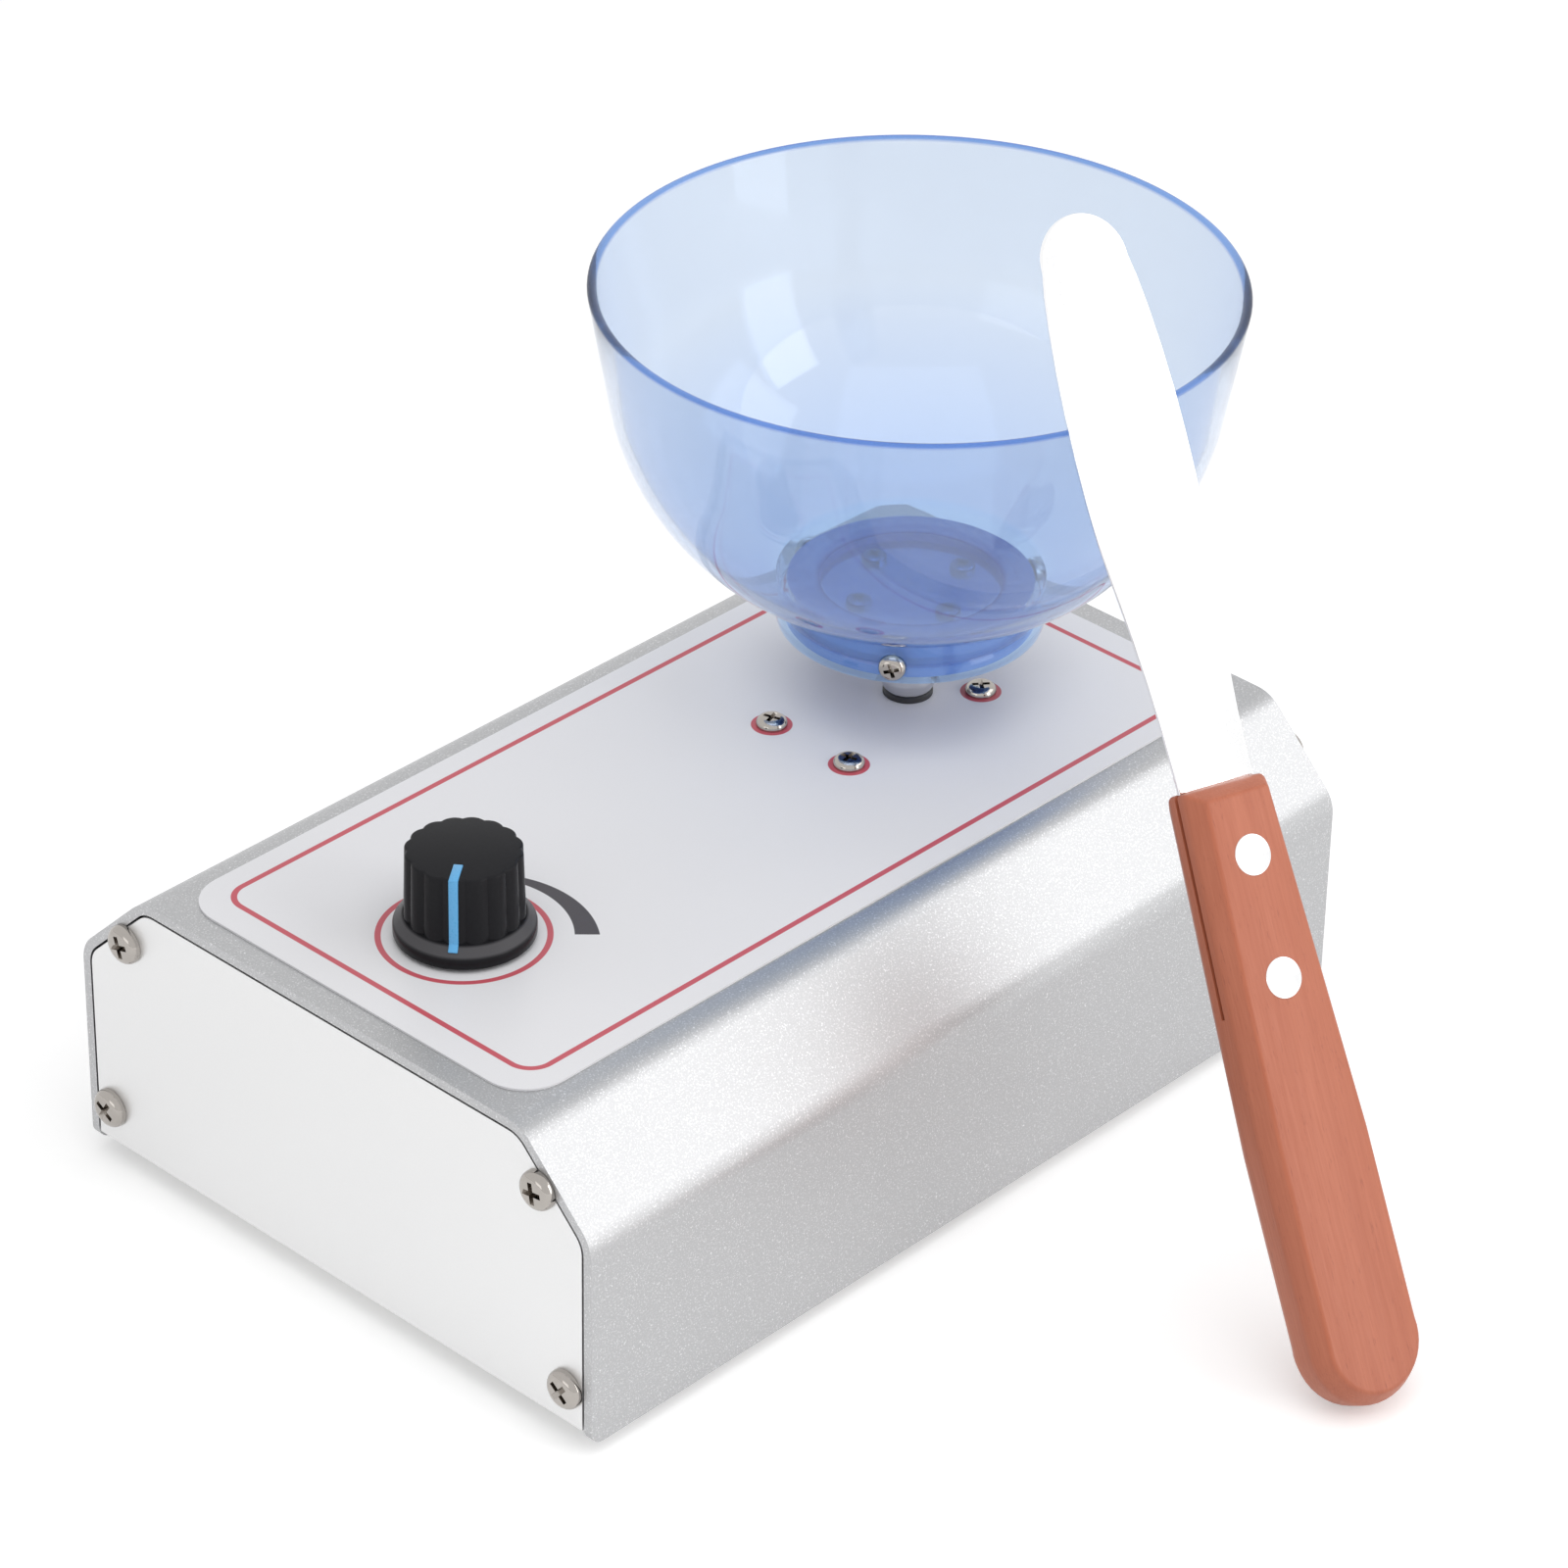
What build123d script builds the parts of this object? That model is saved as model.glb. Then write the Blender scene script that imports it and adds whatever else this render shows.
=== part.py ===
from build123d import *
import os
from math import acos, atan, atan2, cos, degrees, pi, radians, sin, sqrt, tan

os.makedirs("parts", exist_ok=True)

# Bench mixer for dental impression material: a bowl that spins on a vertical shaft above a
# sheet-aluminium housing, with a speed knob in front of it and a spatula leaning on its rim.
# X is the width, Y the length with the operator at -Y, Z is up. The origin is the centre of
# the base's footprint, on the bench. Millimetres.

# ---- fits --------------------------------------------------------------------------------
seat_fit = 0.02  # radial, pieces that are pressed or screwed into each other
running_fit = 0.05  # radial, shafts that turn in a bore
hole_play = 0.25  # radial, screws through plain holes
face_gap = 0.2  # axial, turning pieces beside fixed ones
near_gap = 0.3  # between loosely seated neighbours

# ---- housing -----------------------------------------------------------------------------
case_width = 140.0
case_length = 212.0
case_height = 64.0
case_chamfer = 18.0
case_wall = 2.0
case_bend_radius = 8.0
wall_corner_radius = 3.0
foot_lift = 3.0
groove_height = 2.6  # underside of the base plate above the lower edge of the side walls
rib_depth = 2.2
rib_thickness = 1.2
port_radius = 4.6
upper_port_x = 56.7
upper_port_rise = 52.4  # above the lower edge of the side walls
lower_port_x = 63.5
lower_port_rise = 10.4

wall_bottom = foot_lift
case_top = wall_bottom + case_height
inner_top = case_top - case_wall

# ---- end plates and base -----------------------------------------------------------------
plate_thickness = 2.5
plate_gap = 0.5  # between the end plates and the cover round them
plate_raise = 2.5  # lower edge of the end plates above the lower edge of the side walls
base_thickness = 1.6
foot_diameter = 18.0
foot_inset_x = 20.0
foot_inset_y = 21.0

base_bottom = wall_bottom + groove_height
base_top = base_bottom + base_thickness
plate_face = case_length / 2
plate_back = plate_face - plate_thickness

# ---- control panel -----------------------------------------------------------------------
panel_width = 94.8
panel_length = 201.0
panel_corner_radius = 9.5
panel_thickness = 0.4
panel_top = case_top + panel_thickness

# ---- gears -------------------------------------------------------------------------------
gear_module = 0.8
pressure_angle = radians(20)
addendum = 0.75 * gear_module
dedendum = 1.0 * gear_module
backlash = 0.16
output_teeth = 48
idler_small_teeth = 14
idler_large_teeth = 42
pinion_teeth = 12

shaft_y = 54.0
idler_y = shaft_y - gear_module * (output_teeth + idler_small_teeth) / 2
motor_y = idler_y - gear_module * (idler_large_teeth + pinion_teeth) / 2

# ---- gear case ---------------------------------------------------------------------------
gear_cover_thickness = 5.0
gear_case_height = 22.0
gear_case_floor = 3.0
gear_case_wall = 2.5
gear_side_room = 1.5
gear_case_nose = 17.0  # from the motor axis to the inner face of the case's front wall
gear_case_radius = 5.0
corner_post_radius = 3.6
corner_post_inset = 3.4

gear_cover_bottom = inner_top - gear_cover_thickness
gear_case_bottom = gear_cover_bottom - gear_case_height
gear_floor_top = gear_case_bottom + gear_case_floor
gear_half_width = gear_module * output_teeth / 2 + addendum + gear_side_room
gear_case_front = motor_y - gear_case_nose
gear_case_rear = shaft_y + gear_half_width
gear_case_middle = (gear_case_front + gear_case_rear) / 2
gear_case_span = gear_case_rear - gear_case_front

# ---- panel screws that carry the gear case -----------------------------------------------
panel_screw_spacing_x = 21.2
panel_screw_spacing_y = 39.0
panel_screw_middle_y = 44.8
panel_screw_diameter = 3.5
panel_screw_head = 6.4
panel_screw_head_height = 1.8

# ---- output shaft, hub and bowl ----------------------------------------------------------
shaft_diameter = 7.0
bushing_diameter = 9.6
bushing_flange = 10.2
bushing_flange_height = 1.2
neck_diameter = 12.5
neck_taper_height = 2.8
neck_taper_inset = 1.3
neck_lift = 1.5  # above the panel
foot_ring_lift = 18.0  # lower edge of the bowl above the panel
foot_ring_radius = 27.2
foot_ring_wall = 2.2
foot_ring_height = 9.4  # to where the curve of the bowl starts
hub_recess = 0.6
bowl_floor_lift = 8.0  # underside of the bowl's floor above the lower edge of the bowl
bowl_floor = 2.0
bowl_wall = 2.0
bowl_height = 75.0
rim_radius = 64.8
rim_wall_length = 23.5
wall_draft = radians(9.5)
hub_pocket_depth = 3.8
hub_flange_radius = 18.4
hub_flange_thickness = 2.0
hub_screw_circle = 12.8
hub_screw_start = 78.0
hub_screw_head = 5.2
hub_screw_head_height = 1.5
hub_screw_length = 4.0
bowl_screw_count = 3
bowl_screw_angle = -55.0
bowl_screw_rise = 3.8  # above the lower edge of the bowl
bowl_screw_diameter = 3.0
bowl_screw_head = 5.6
bowl_screw_head_height = 1.9
bowl_screw_seat = 0.6

foot_ring_bottom = panel_top + foot_ring_lift
floor_bottom = foot_ring_bottom + bowl_floor_lift
floor_top = floor_bottom + bowl_floor
rim_top = foot_ring_bottom + bowl_height
neck_bottom = panel_top + neck_lift
hub_bottom = foot_ring_bottom + hub_recess
pocket_bottom = floor_bottom - hub_pocket_depth
hub_radius = foot_ring_radius - foot_ring_wall - seat_fit

# ---- speed knob and potentiometer --------------------------------------------------------
knob_y = -70.0
knob_lift = 0.8
knob_height = 19.2
skirt_radius = 13.8
skirt_band = 3.2
skirt_bevel = 2.0
knob_base_radius = 11.8
knob_top_radius = 11.4
knob_lobes = 16
knob_lobe_radius = 3.4
pointer_width = 1.8
pointer_reach = 5.6  # length of the pointer on the top face
pointer_depth = 1.0
pointer_proud = 0.25
pointer_angle = -54.0
pot_radius = 12.0
pot_height = 10.0
pot_wall = 1.6
pot_thread_diameter = 7.0
pot_thread_length = 6.2
pot_shaft_diameter = 6.0
pot_nut_width = 10.0
pot_nut_height = 2.4

# ---- motor -------------------------------------------------------------------------------
motor_radius = 18.5
motor_can_wall = 1.2
motor_face = 1.6
motor_height = 25.5
motor_cap_thickness = 2.0
motor_shaft_diameter = 3.17
motor_screw_offset = 12.5
magnet_thickness = 3.0
magnet_gap = 16.0  # between the edges of the two magnets
armature_gap = 0.5

# ---- spatula -----------------------------------------------------------------------------
spatula_bearing = radians(-11.7)  # compass direction in which the spatula leans out
spatula_lean = radians(33.4)  # from the vertical
spatula_twist = radians(3.8)  # turn of the spatula in its own plane, butt to the front
spatula_length = 230.0
handle_length = 120.0
handle_top_width = 18.6
handle_butt_width = 24.4
handle_taper_length = 69.0
handle_round_length = 14.0
handle_thickness = 13.0
handle_bevel_width = 2.2
handle_bevel_depth = 3.8
blade_thickness = 1.0
blade_half_widths = ((0, 8.5), (13, 8.8), (31, 10.2), (42, 11.5), (57, 12.6), (74, 12.6), (90, 11.4))
blade_tip_radius = 9.7
tang_length = 42.8
tang_width = 15.0
rivet_diameter = 8.0
rivet_distances = (14.0, 37.7)  # from the top of the handle
rivet_proud = 0.3


# ==== shared shapes =======================================================================
def end_plane(y, x=0.0, z=0.0):
    """A plane that faces -Y at the given place, with X to the right and Z up."""
    return Plane(origin=(x, y, z), x_dir=(1, 0, 0), z_dir=(0, -1, 0))


def rear_plane(x, y, z):
    """A plane that faces +Y at the given place, with Z up."""
    return Plane(origin=(x, y, z), x_dir=(-1, 0, 0), z_dir=(0, 1, 0))


def case_outline(inset, bottom):
    """The housing's section in X and Z, moved inwards by inset, down to a level bottom edge."""
    slope_shift = inset * (sqrt(2) - 1)
    side = case_width / 2 - inset
    shoulder = case_top - case_chamfer - slope_shift
    top_half = case_width / 2 - case_chamfer - slope_shift
    top = case_top - inset
    with BuildSketch() as outline:
        with BuildLine():
            Polyline(
                (-side, bottom), (-side, shoulder), (-top_half, top),
                (top_half, top), (side, shoulder), (side, bottom), close=True,
            )
        make_face()
        bends = [v for v in outline.vertices() if v.Y > bottom + 1]
        fillet(bends, radius=case_bend_radius - inset)
    return outline.sketch


def pan_screw(head_diameter, head_height, thread_diameter, length):
    """A cross-recessed pan-head screw: its seat at z = 0, its thread pointing down."""
    with BuildPart() as screw:
        with BuildSketch():
            Circle(head_diameter / 2)
        extrude(amount=head_height)
        crown = screw.edges().filter_by(GeomType.CIRCLE).sort_by(Axis.Z)[-1]
        fillet(crown, radius=0.6 * head_height)
        with BuildSketch():
            Circle(thread_diameter / 2)
        extrude(amount=-length)
        tip = screw.edges().filter_by(GeomType.CIRCLE).sort_by(Axis.Z)[0]
        chamfer(tip, length=0.12 * thread_diameter)
        with BuildSketch(Plane.XY.offset(head_height)):
            Rectangle(0.52 * head_diameter, 0.14 * head_diameter)
            Rectangle(0.14 * head_diameter, 0.52 * head_diameter)
        extrude(amount=-0.65 * head_height, mode=Mode.SUBTRACT)
    return screw.part


def gear_outline(teeth, first_tooth):
    """An involute spur gear's outline, with the middle of one tooth at first_tooth degrees."""
    pitch_radius = gear_module * teeth / 2
    base_radius = pitch_radius * cos(pressure_angle)
    tip_radius = pitch_radius + addendum
    root_radius = pitch_radius - dedendum
    pitch_half = pi / (2 * teeth) - backlash / (4 * pitch_radius)
    involute = tan(pressure_angle) - pressure_angle

    def flank(radius):
        angle = acos(min(1.0, base_radius / radius))
        half = pitch_half + involute - (tan(angle) - angle)
        return (radius * cos(half), radius * sin(half))

    start = max(base_radius, root_radius)
    steps = 5
    upper = [flank(start + (tip_radius - start) * i / steps) for i in range(steps + 1)]
    lower = [(x, -y) for x, y in upper]
    heel = 0.9 * root_radius
    heel_half = atan2(upper[0][1], upper[0][0])
    heel_x, heel_y = heel * cos(heel_half), heel * sin(heel_half)
    with BuildSketch() as tooth:
        with BuildLine():
            Line((heel_x, heel_y), upper[0])
            Spline(upper)
            ThreePointArc(upper[-1], (tip_radius, 0), lower[-1])
            Spline(lower)
            Line(lower[0], (heel_x, -heel_y))
            Line((heel_x, -heel_y), (heel_x, heel_y))
        make_face()
    with BuildSketch() as outline:
        Circle(root_radius)
        with PolarLocations(0, teeth, start_angle=first_tooth):
            add(tooth.sketch)
    return outline.sketch


def corner_points(spacing_x, spacing_y, middle_y=0.0):
    """The four corners of a rectangle that is centred on X."""
    return [
        (sx * spacing_x / 2, middle_y + sy * spacing_y / 2) for sx in (-1, 1) for sy in (-1, 1)
    ]


# ==== housing =============================================================================
port_points = [
    (sx * x, wall_bottom + rise) for sx in (-1, 1)
    for x, rise in ((upper_port_x, upper_port_rise), (lower_port_x, lower_port_rise))
]
end_screw_diameter = 4.0
end_screw_head = 8.2
end_screw_head_height = 2.3
end_screw_length = 14.0
panel_screw_points = corner_points(
    panel_screw_spacing_x, panel_screw_spacing_y, panel_screw_middle_y
)
bushing_hole = bushing_diameter / 2 + near_gap
pot_hole = pot_thread_diameter / 2 + hole_play

with BuildPart() as housing_cover:
    with BuildSketch(end_plane(-case_length / 2)):
        add(case_outline(0, wall_bottom))
        add(case_outline(case_wall, wall_bottom - 1), mode=Mode.SUBTRACT)
        with Locations(*port_points):
            Circle(port_radius)
        rib_x = case_width / 2 - case_wall - rib_depth / 2
        lower_rib_z = base_bottom - near_gap / 2 - rib_thickness / 2
        upper_rib_z = base_top + near_gap / 2 + rib_thickness / 2
        with Locations(
            *[(sx * rib_x, z) for sx in (-1, 1) for z in (lower_rib_z, upper_rib_z)]
        ):
            Rectangle(rib_depth + 0.2, rib_thickness)
        with Locations(*port_points):
            Circle(end_screw_diameter / 2 + seat_fit, mode=Mode.SUBTRACT)
    extrude(amount=-case_length)
    for start, depth in (
        (-plate_face, -plate_thickness - face_gap), (plate_face, plate_thickness + face_gap)
    ):
        with BuildSketch(end_plane(start)):
            add(case_outline(case_wall, wall_bottom - 1))
        extrude(amount=depth, mode=Mode.SUBTRACT)
    wall_ends = housing_cover.edges().filter_by(Axis.X).group_by(Axis.Z)[0]
    fillet(wall_ends, radius=wall_corner_radius)
    with BuildSketch(Plane.XY.offset(case_top)):
        with Locations(*panel_screw_points):
            Circle(panel_screw_diameter / 2 + hole_play)
        with Locations((0, shaft_y)):
            Circle(bushing_hole)
        with Locations((0, knob_y)):
            Circle(pot_hole)
    extrude(amount=-2 * case_wall, mode=Mode.SUBTRACT)
housing_cover.part.label = "housing_cover"
export_step(housing_cover.part, "parts/housing_cover.step")

foot_points = corner_points(case_width - 2 * foot_inset_x, case_length - 2 * foot_inset_y)
foot_screw_diameter = 4.0
foot_screw_head = 7.6
foot_screw_head_height = 2.2
foot_screw_length = 5.6
foot_recess_radius = 5.0
foot_seat = 2.4  # rubber left between the screw's head and the base plate

# Board, transformer: the pieces that stand on the base plate.
board_width = 84.0
board_depth = 58.0
board_thickness = 1.6
board_y = -62.0
board_lift = 8.0
board_hole_inset = 5.0
standoff_radius = 3.2
standoff_stud_radius = 2.0
board_screw_diameter = 3.0
board_screw_head = 5.6
board_screw_length = 6.0
board_bottom = base_top + board_lift
board_top = board_bottom + board_thickness
standoff_points = corner_points(
    board_width - 2 * board_hole_inset, board_depth - 2 * board_hole_inset, board_y
)
transformer_x = -41.5
transformer_y = 42.0
core_length = 48.0
core_height = 40.0
core_stack = 16.0
core_leg = 8.0
bracket_sheet = 1.2
bracket_foot = 12.0
bracket_screw_diameter = 4.0
bracket_screw_reach = core_length / 2 + bracket_sheet + bracket_foot / 2
bracket_screw_points = [
    (transformer_x, transformer_y + s * bracket_screw_reach) for s in (-1, 1)
]

with BuildPart() as base_plate:
    with BuildSketch(Plane.XY.offset(base_bottom)):
        Rectangle(case_width - 2 * case_wall - 2 * near_gap, 2 * plate_back - 2 * face_gap)
        with Locations(*foot_points):
            Circle(foot_screw_diameter / 2 + seat_fit, mode=Mode.SUBTRACT)
        with Locations(*standoff_points):
            Circle(standoff_stud_radius + seat_fit, mode=Mode.SUBTRACT)
        with Locations(*bracket_screw_points):
            Circle(bracket_screw_diameter / 2 + seat_fit, mode=Mode.SUBTRACT)
    extrude(amount=base_thickness)
base_plate.part.label = "base_plate"
export_step(base_plate.part, "parts/base_plate.step")


def blank_end_plate(plane):
    """An end plate without cut-outs, its outer face on the plane."""
    with BuildPart() as plate:
        with BuildSketch(plane):
            add(case_outline(case_wall + plate_gap, wall_bottom + plate_raise))
            with Locations(*port_points):
                Circle(end_screw_diameter / 2 + hole_play, mode=Mode.SUBTRACT)
        extrude(amount=-plate_thickness)
    return plate.part


with BuildPart() as front_end_plate:
    add(blank_end_plate(end_plane(-plate_face)))
front_end_plate.part.label = "front_end_plate"
export_step(front_end_plate.part, "parts/front_end_plate.step")

# Mains inlet, rocker switch and fuse holder share the rear plate.
rear_fitting_z = 33.0
inlet_x = -36.0
inlet_flange_width = 50.0
inlet_flange_height = 24.0
inlet_flange_thickness = 2.5
inlet_body_width = 27.0
inlet_body_height = 20.0
inlet_body_depth = 21.0
inlet_screw_spacing = 40.0
inlet_screw_diameter = 3.0
switch_x = 10.0
switch_bezel_width = 15.0
switch_bezel_height = 21.4
switch_bezel_thickness = 1.8
switch_body_width = 12.8
switch_body_height = 19.2
switch_body_depth = 15.0
fuse_x = 42.0
fuse_body_radius = 6.0
fuse_flange_radius = 8.0
fuse_flange_thickness = 2.0
fuse_body_depth = 30.0

with BuildPart() as rear_end_plate:
    add(blank_end_plate(rear_plane(0, plate_face, 0)))
    with BuildSketch(end_plane(plate_face)):
        with Locations((inlet_x, rear_fitting_z)):
            Rectangle(inlet_body_width + 2 * hole_play, inlet_body_height + 2 * hole_play)
        with Locations(
            *[(inlet_x + s * inlet_screw_spacing / 2, rear_fitting_z) for s in (-1, 1)]
        ):
            Circle(inlet_screw_diameter / 2 + seat_fit)
        with Locations((switch_x, rear_fitting_z)):
            Rectangle(switch_body_width + 2 * hole_play, switch_body_height + 2 * hole_play)
        with Locations((fuse_x, rear_fitting_z)):
            Circle(fuse_body_radius + hole_play)
    extrude(amount=plate_thickness, mode=Mode.SUBTRACT)
rear_end_plate.part.label = "rear_end_plate"
export_step(rear_end_plate.part, "parts/rear_end_plate.step")

end_screw = pan_screw(
    end_screw_head, end_screw_head_height, end_screw_diameter, end_screw_length
)
with BuildPart() as end_plate_screws:
    with Locations(
        *[Location(end_plane(-plate_face, x, z)) for x, z in port_points],
        *[Location(rear_plane(x, plate_face, z)) for x, z in port_points],
    ):
        add(end_screw)
end_plate_screws.part.label = "end_plate_screws"
export_step(end_plate_screws.part, "parts/end_plate_screws.step")

with BuildPart() as rubber_feet:
    with BuildSketch(Plane.XY) as foot_sketch:
        with Locations(*foot_points):
            Circle(foot_diameter / 2)
    extrude(amount=base_bottom)
    bottom_rims = rubber_feet.edges().filter_by(GeomType.CIRCLE).group_by(Axis.Z)[0]
    fillet(bottom_rims, radius=1.0)
    with BuildSketch(Plane.XY):
        with Locations(*foot_points):
            Circle(foot_recess_radius)
    extrude(amount=base_bottom - foot_seat, mode=Mode.SUBTRACT)
    with BuildSketch(Plane.XY):
        with Locations(*foot_points):
            Circle(foot_screw_diameter / 2 + hole_play)
    extrude(amount=base_bottom, mode=Mode.SUBTRACT)
rubber_feet.part.label = "rubber_feet"
export_step(rubber_feet.part, "parts/rubber_feet.step")

foot_screw = pan_screw(
    foot_screw_head, foot_screw_head_height, foot_screw_diameter, foot_screw_length
)
with BuildPart() as foot_screws:
    with Locations(
        *[
            Location(Plane((x, y, base_bottom - foot_seat), x_dir=(1, 0, 0), z_dir=(0, 0, -1)))
            for x, y in foot_points
        ]
    ):
        add(foot_screw)
foot_screws.part.label = "foot_screws"
export_step(foot_screws.part, "parts/foot_screws.step")

# ==== control panel =======================================================================
with BuildPart() as control_panel:
    with BuildSketch(Plane.XY.offset(case_top)):
        RectangleRounded(panel_width, panel_length, panel_corner_radius)
        with Locations(*panel_screw_points):
            Circle(panel_screw_diameter / 2 + hole_play, mode=Mode.SUBTRACT)
        with Locations((0, shaft_y)):
            Circle(bushing_hole, mode=Mode.SUBTRACT)
        with Locations((0, knob_y)):
            Circle(pot_hole, mode=Mode.SUBTRACT)
    extrude(amount=panel_thickness)
control_panel.part.label = "control_panel"
export_step(control_panel.part, "parts/control_panel.step")

panel_screw_length = panel_thickness + case_wall + 0.9 * gear_cover_thickness
panel_screw = pan_screw(
    panel_screw_head, panel_screw_head_height, panel_screw_diameter, panel_screw_length
)
with BuildPart() as panel_screws:
    with Locations(*[(x, y, panel_top) for x, y in panel_screw_points]):
        add(panel_screw)
panel_screws.part.label = "panel_screws"
export_step(panel_screws.part, "parts/panel_screws.step")

# ==== gear case ===========================================================================
case_screw_diameter = 3.0
case_screw_head = 5.6
case_screw_head_height = 2.2
gear_post_points = corner_points(
    2 * (gear_half_width - corner_post_inset),
    gear_case_span - 2 * corner_post_inset,
    gear_case_middle,
)
lower_bushing_radius = shaft_diameter / 2 + 1.6
lower_bushing_flange = lower_bushing_radius + 1.6
lower_bushing_flange_height = 1.0
axle_diameter = 3.0
axle_seat = 1.6
pinion_tip_radius = gear_module * pinion_teeth / 2 + addendum
motor_screw_diameter = 3.0
motor_screw_head = 5.6
motor_screw_head_height = 2.0
motor_screw_points = [(s * motor_screw_offset, motor_y) for s in (-1, 1)]

with BuildPart() as gear_case_body:
    with BuildSketch(Plane.XY.offset(gear_case_bottom)):
        with Locations((0, gear_case_middle)):
            RectangleRounded(
                2 * (gear_half_width + gear_case_wall),
                gear_case_span + 2 * gear_case_wall,
                gear_case_radius,
            )
    extrude(amount=gear_case_height)
    with BuildSketch(Plane.XY.offset(gear_floor_top)):
        with Locations((0, gear_case_middle)):
            RectangleRounded(
                2 * gear_half_width, gear_case_span, gear_case_radius - gear_case_wall
            )
        with Locations(*gear_post_points):
            Circle(corner_post_radius, mode=Mode.SUBTRACT)
    extrude(amount=gear_case_height, mode=Mode.SUBTRACT)
    with BuildSketch(Plane.XY.offset(gear_case_bottom)):
        with Locations(*gear_post_points):
            Circle(case_screw_diameter / 2 + hole_play)
    extrude(amount=gear_case_height, mode=Mode.SUBTRACT)
    with BuildSketch(Plane.XY.offset(gear_case_bottom)):
        with Locations((0, shaft_y)):
            Circle(lower_bushing_radius + seat_fit)
        with Locations((0, motor_y)):
            Circle(pinion_tip_radius + 1.0)
        with Locations(*motor_screw_points):
            Circle(motor_screw_diameter / 2 + hole_play)
    extrude(amount=gear_case_floor, mode=Mode.SUBTRACT)
    with BuildSketch(Plane.XY.offset(gear_floor_top - axle_seat)):
        with Locations((0, idler_y)):
            Circle(axle_diameter / 2 + seat_fit)
    extrude(amount=axle_seat, mode=Mode.SUBTRACT)
gear_case_body.part.label = "gear_case_body"
export_step(gear_case_body.part, "parts/gear_case_body.step")

with BuildPart() as gear_case_cover:
    with BuildSketch(Plane.XY.offset(gear_cover_bottom)):
        with Locations((0, gear_case_middle)):
            RectangleRounded(
                2 * (gear_half_width + gear_case_wall),
                gear_case_span + 2 * gear_case_wall,
                gear_case_radius,
            )
        with Locations((0, shaft_y)):
            Circle(bushing_diameter / 2 + seat_fit, mode=Mode.SUBTRACT)
        with Locations(*gear_post_points):
            Circle(case_screw_diameter / 2 + seat_fit, mode=Mode.SUBTRACT)
        with Locations(*panel_screw_points):
            Circle(panel_screw_diameter / 2 + seat_fit, mode=Mode.SUBTRACT)
    extrude(amount=gear_cover_thickness)
    with BuildSketch(Plane.XY.offset(gear_cover_bottom)):
        with Locations((0, idler_y)):
            Circle(axle_diameter / 2 + seat_fit)
    extrude(amount=axle_seat, mode=Mode.SUBTRACT)
gear_case_cover.part.label = "gear_case_cover"
export_step(gear_case_cover.part, "parts/gear_case_cover.step")

case_screw = pan_screw(
    case_screw_head, case_screw_head_height, case_screw_diameter,
    gear_case_height + 0.8 * gear_cover_thickness,
)
with BuildPart() as gear_case_screws:
    with Locations(
        *[
            Location(Plane((x, y, gear_case_bottom), x_dir=(1, 0, 0), z_dir=(0, 0, -1)))
            for x, y in gear_post_points
        ]
    ):
        add(case_screw)
gear_case_screws.part.label = "gear_case_screws"
export_step(gear_case_screws.part, "parts/gear_case_screws.step")

with BuildPart() as upper_shaft_bushing:
    with BuildSketch(Plane.XY.offset(gear_cover_bottom)):
        with Locations((0, shaft_y)):
            Circle(bushing_diameter / 2)
    extrude(amount=panel_top - gear_cover_bottom)
    with BuildSketch(Plane.XY.offset(panel_top)):
        with Locations((0, shaft_y)):
            Circle(bushing_flange / 2)
    extrude(amount=bushing_flange_height)
    flange_rim = upper_shaft_bushing.edges().group_by(Axis.Z)[-1]
    chamfer(flange_rim, length=0.3)
    with BuildSketch(Plane.XY.offset(gear_cover_bottom)):
        with Locations((0, shaft_y)):
            Circle(shaft_diameter / 2 + running_fit)
    extrude(amount=panel_top + bushing_flange_height - gear_cover_bottom, mode=Mode.SUBTRACT)
upper_shaft_bushing.part.label = "upper_shaft_bushing"
export_step(upper_shaft_bushing.part, "parts/upper_shaft_bushing.step")

with BuildPart() as lower_shaft_bushing:
    with BuildSketch(Plane.XY.offset(gear_case_bottom)):
        with Locations((0, shaft_y)):
            Circle(lower_bushing_radius)
    extrude(amount=gear_case_floor)
    with BuildSketch(Plane.XY.offset(gear_floor_top)):
        with Locations((0, shaft_y)):
            Circle(lower_bushing_flange)
    extrude(amount=lower_bushing_flange_height)
    with BuildSketch(Plane.XY.offset(gear_case_bottom)):
        with Locations((0, shaft_y)):
            Circle(shaft_diameter / 2 + running_fit)
    extrude(amount=gear_case_floor + lower_bushing_flange_height, mode=Mode.SUBTRACT)
lower_shaft_bushing.part.label = "lower_shaft_bushing"
export_step(lower_shaft_bushing.part, "parts/lower_shaft_bushing.step")

with BuildPart() as idler_axle:
    with BuildSketch(Plane.XY.offset(gear_floor_top - axle_seat)):
        with Locations((0, idler_y)):
            Circle(axle_diameter / 2)
    extrude(amount=gear_cover_bottom - gear_floor_top + 2 * axle_seat)
idler_axle.part.label = "idler_axle"
export_step(idler_axle.part, "parts/idler_axle.step")

# ==== gears ===============================================================================
pinion_bottom = gear_floor_top + 1.0
pinion_top = gear_floor_top + 7.0
idler_large_bottom = gear_floor_top + 2.0
idler_large_top = gear_floor_top + 6.5
output_gear_bottom = gear_floor_top + 10.0
output_gear_top = output_gear_bottom + 7.0
idler_small_top = output_gear_top + 0.5
idler_hub_radius = 3.6
output_hub_radius = 7.0
output_hub_bottom = gear_floor_top + lower_bushing_flange_height + face_gap
large_pitch = 360 / idler_large_teeth
small_pitch = 360 / idler_small_teeth
output_pitch = 360 / output_teeth
toward_idler = -90.0  # direction from the output gear to the idler, and on to the pinion

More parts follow.
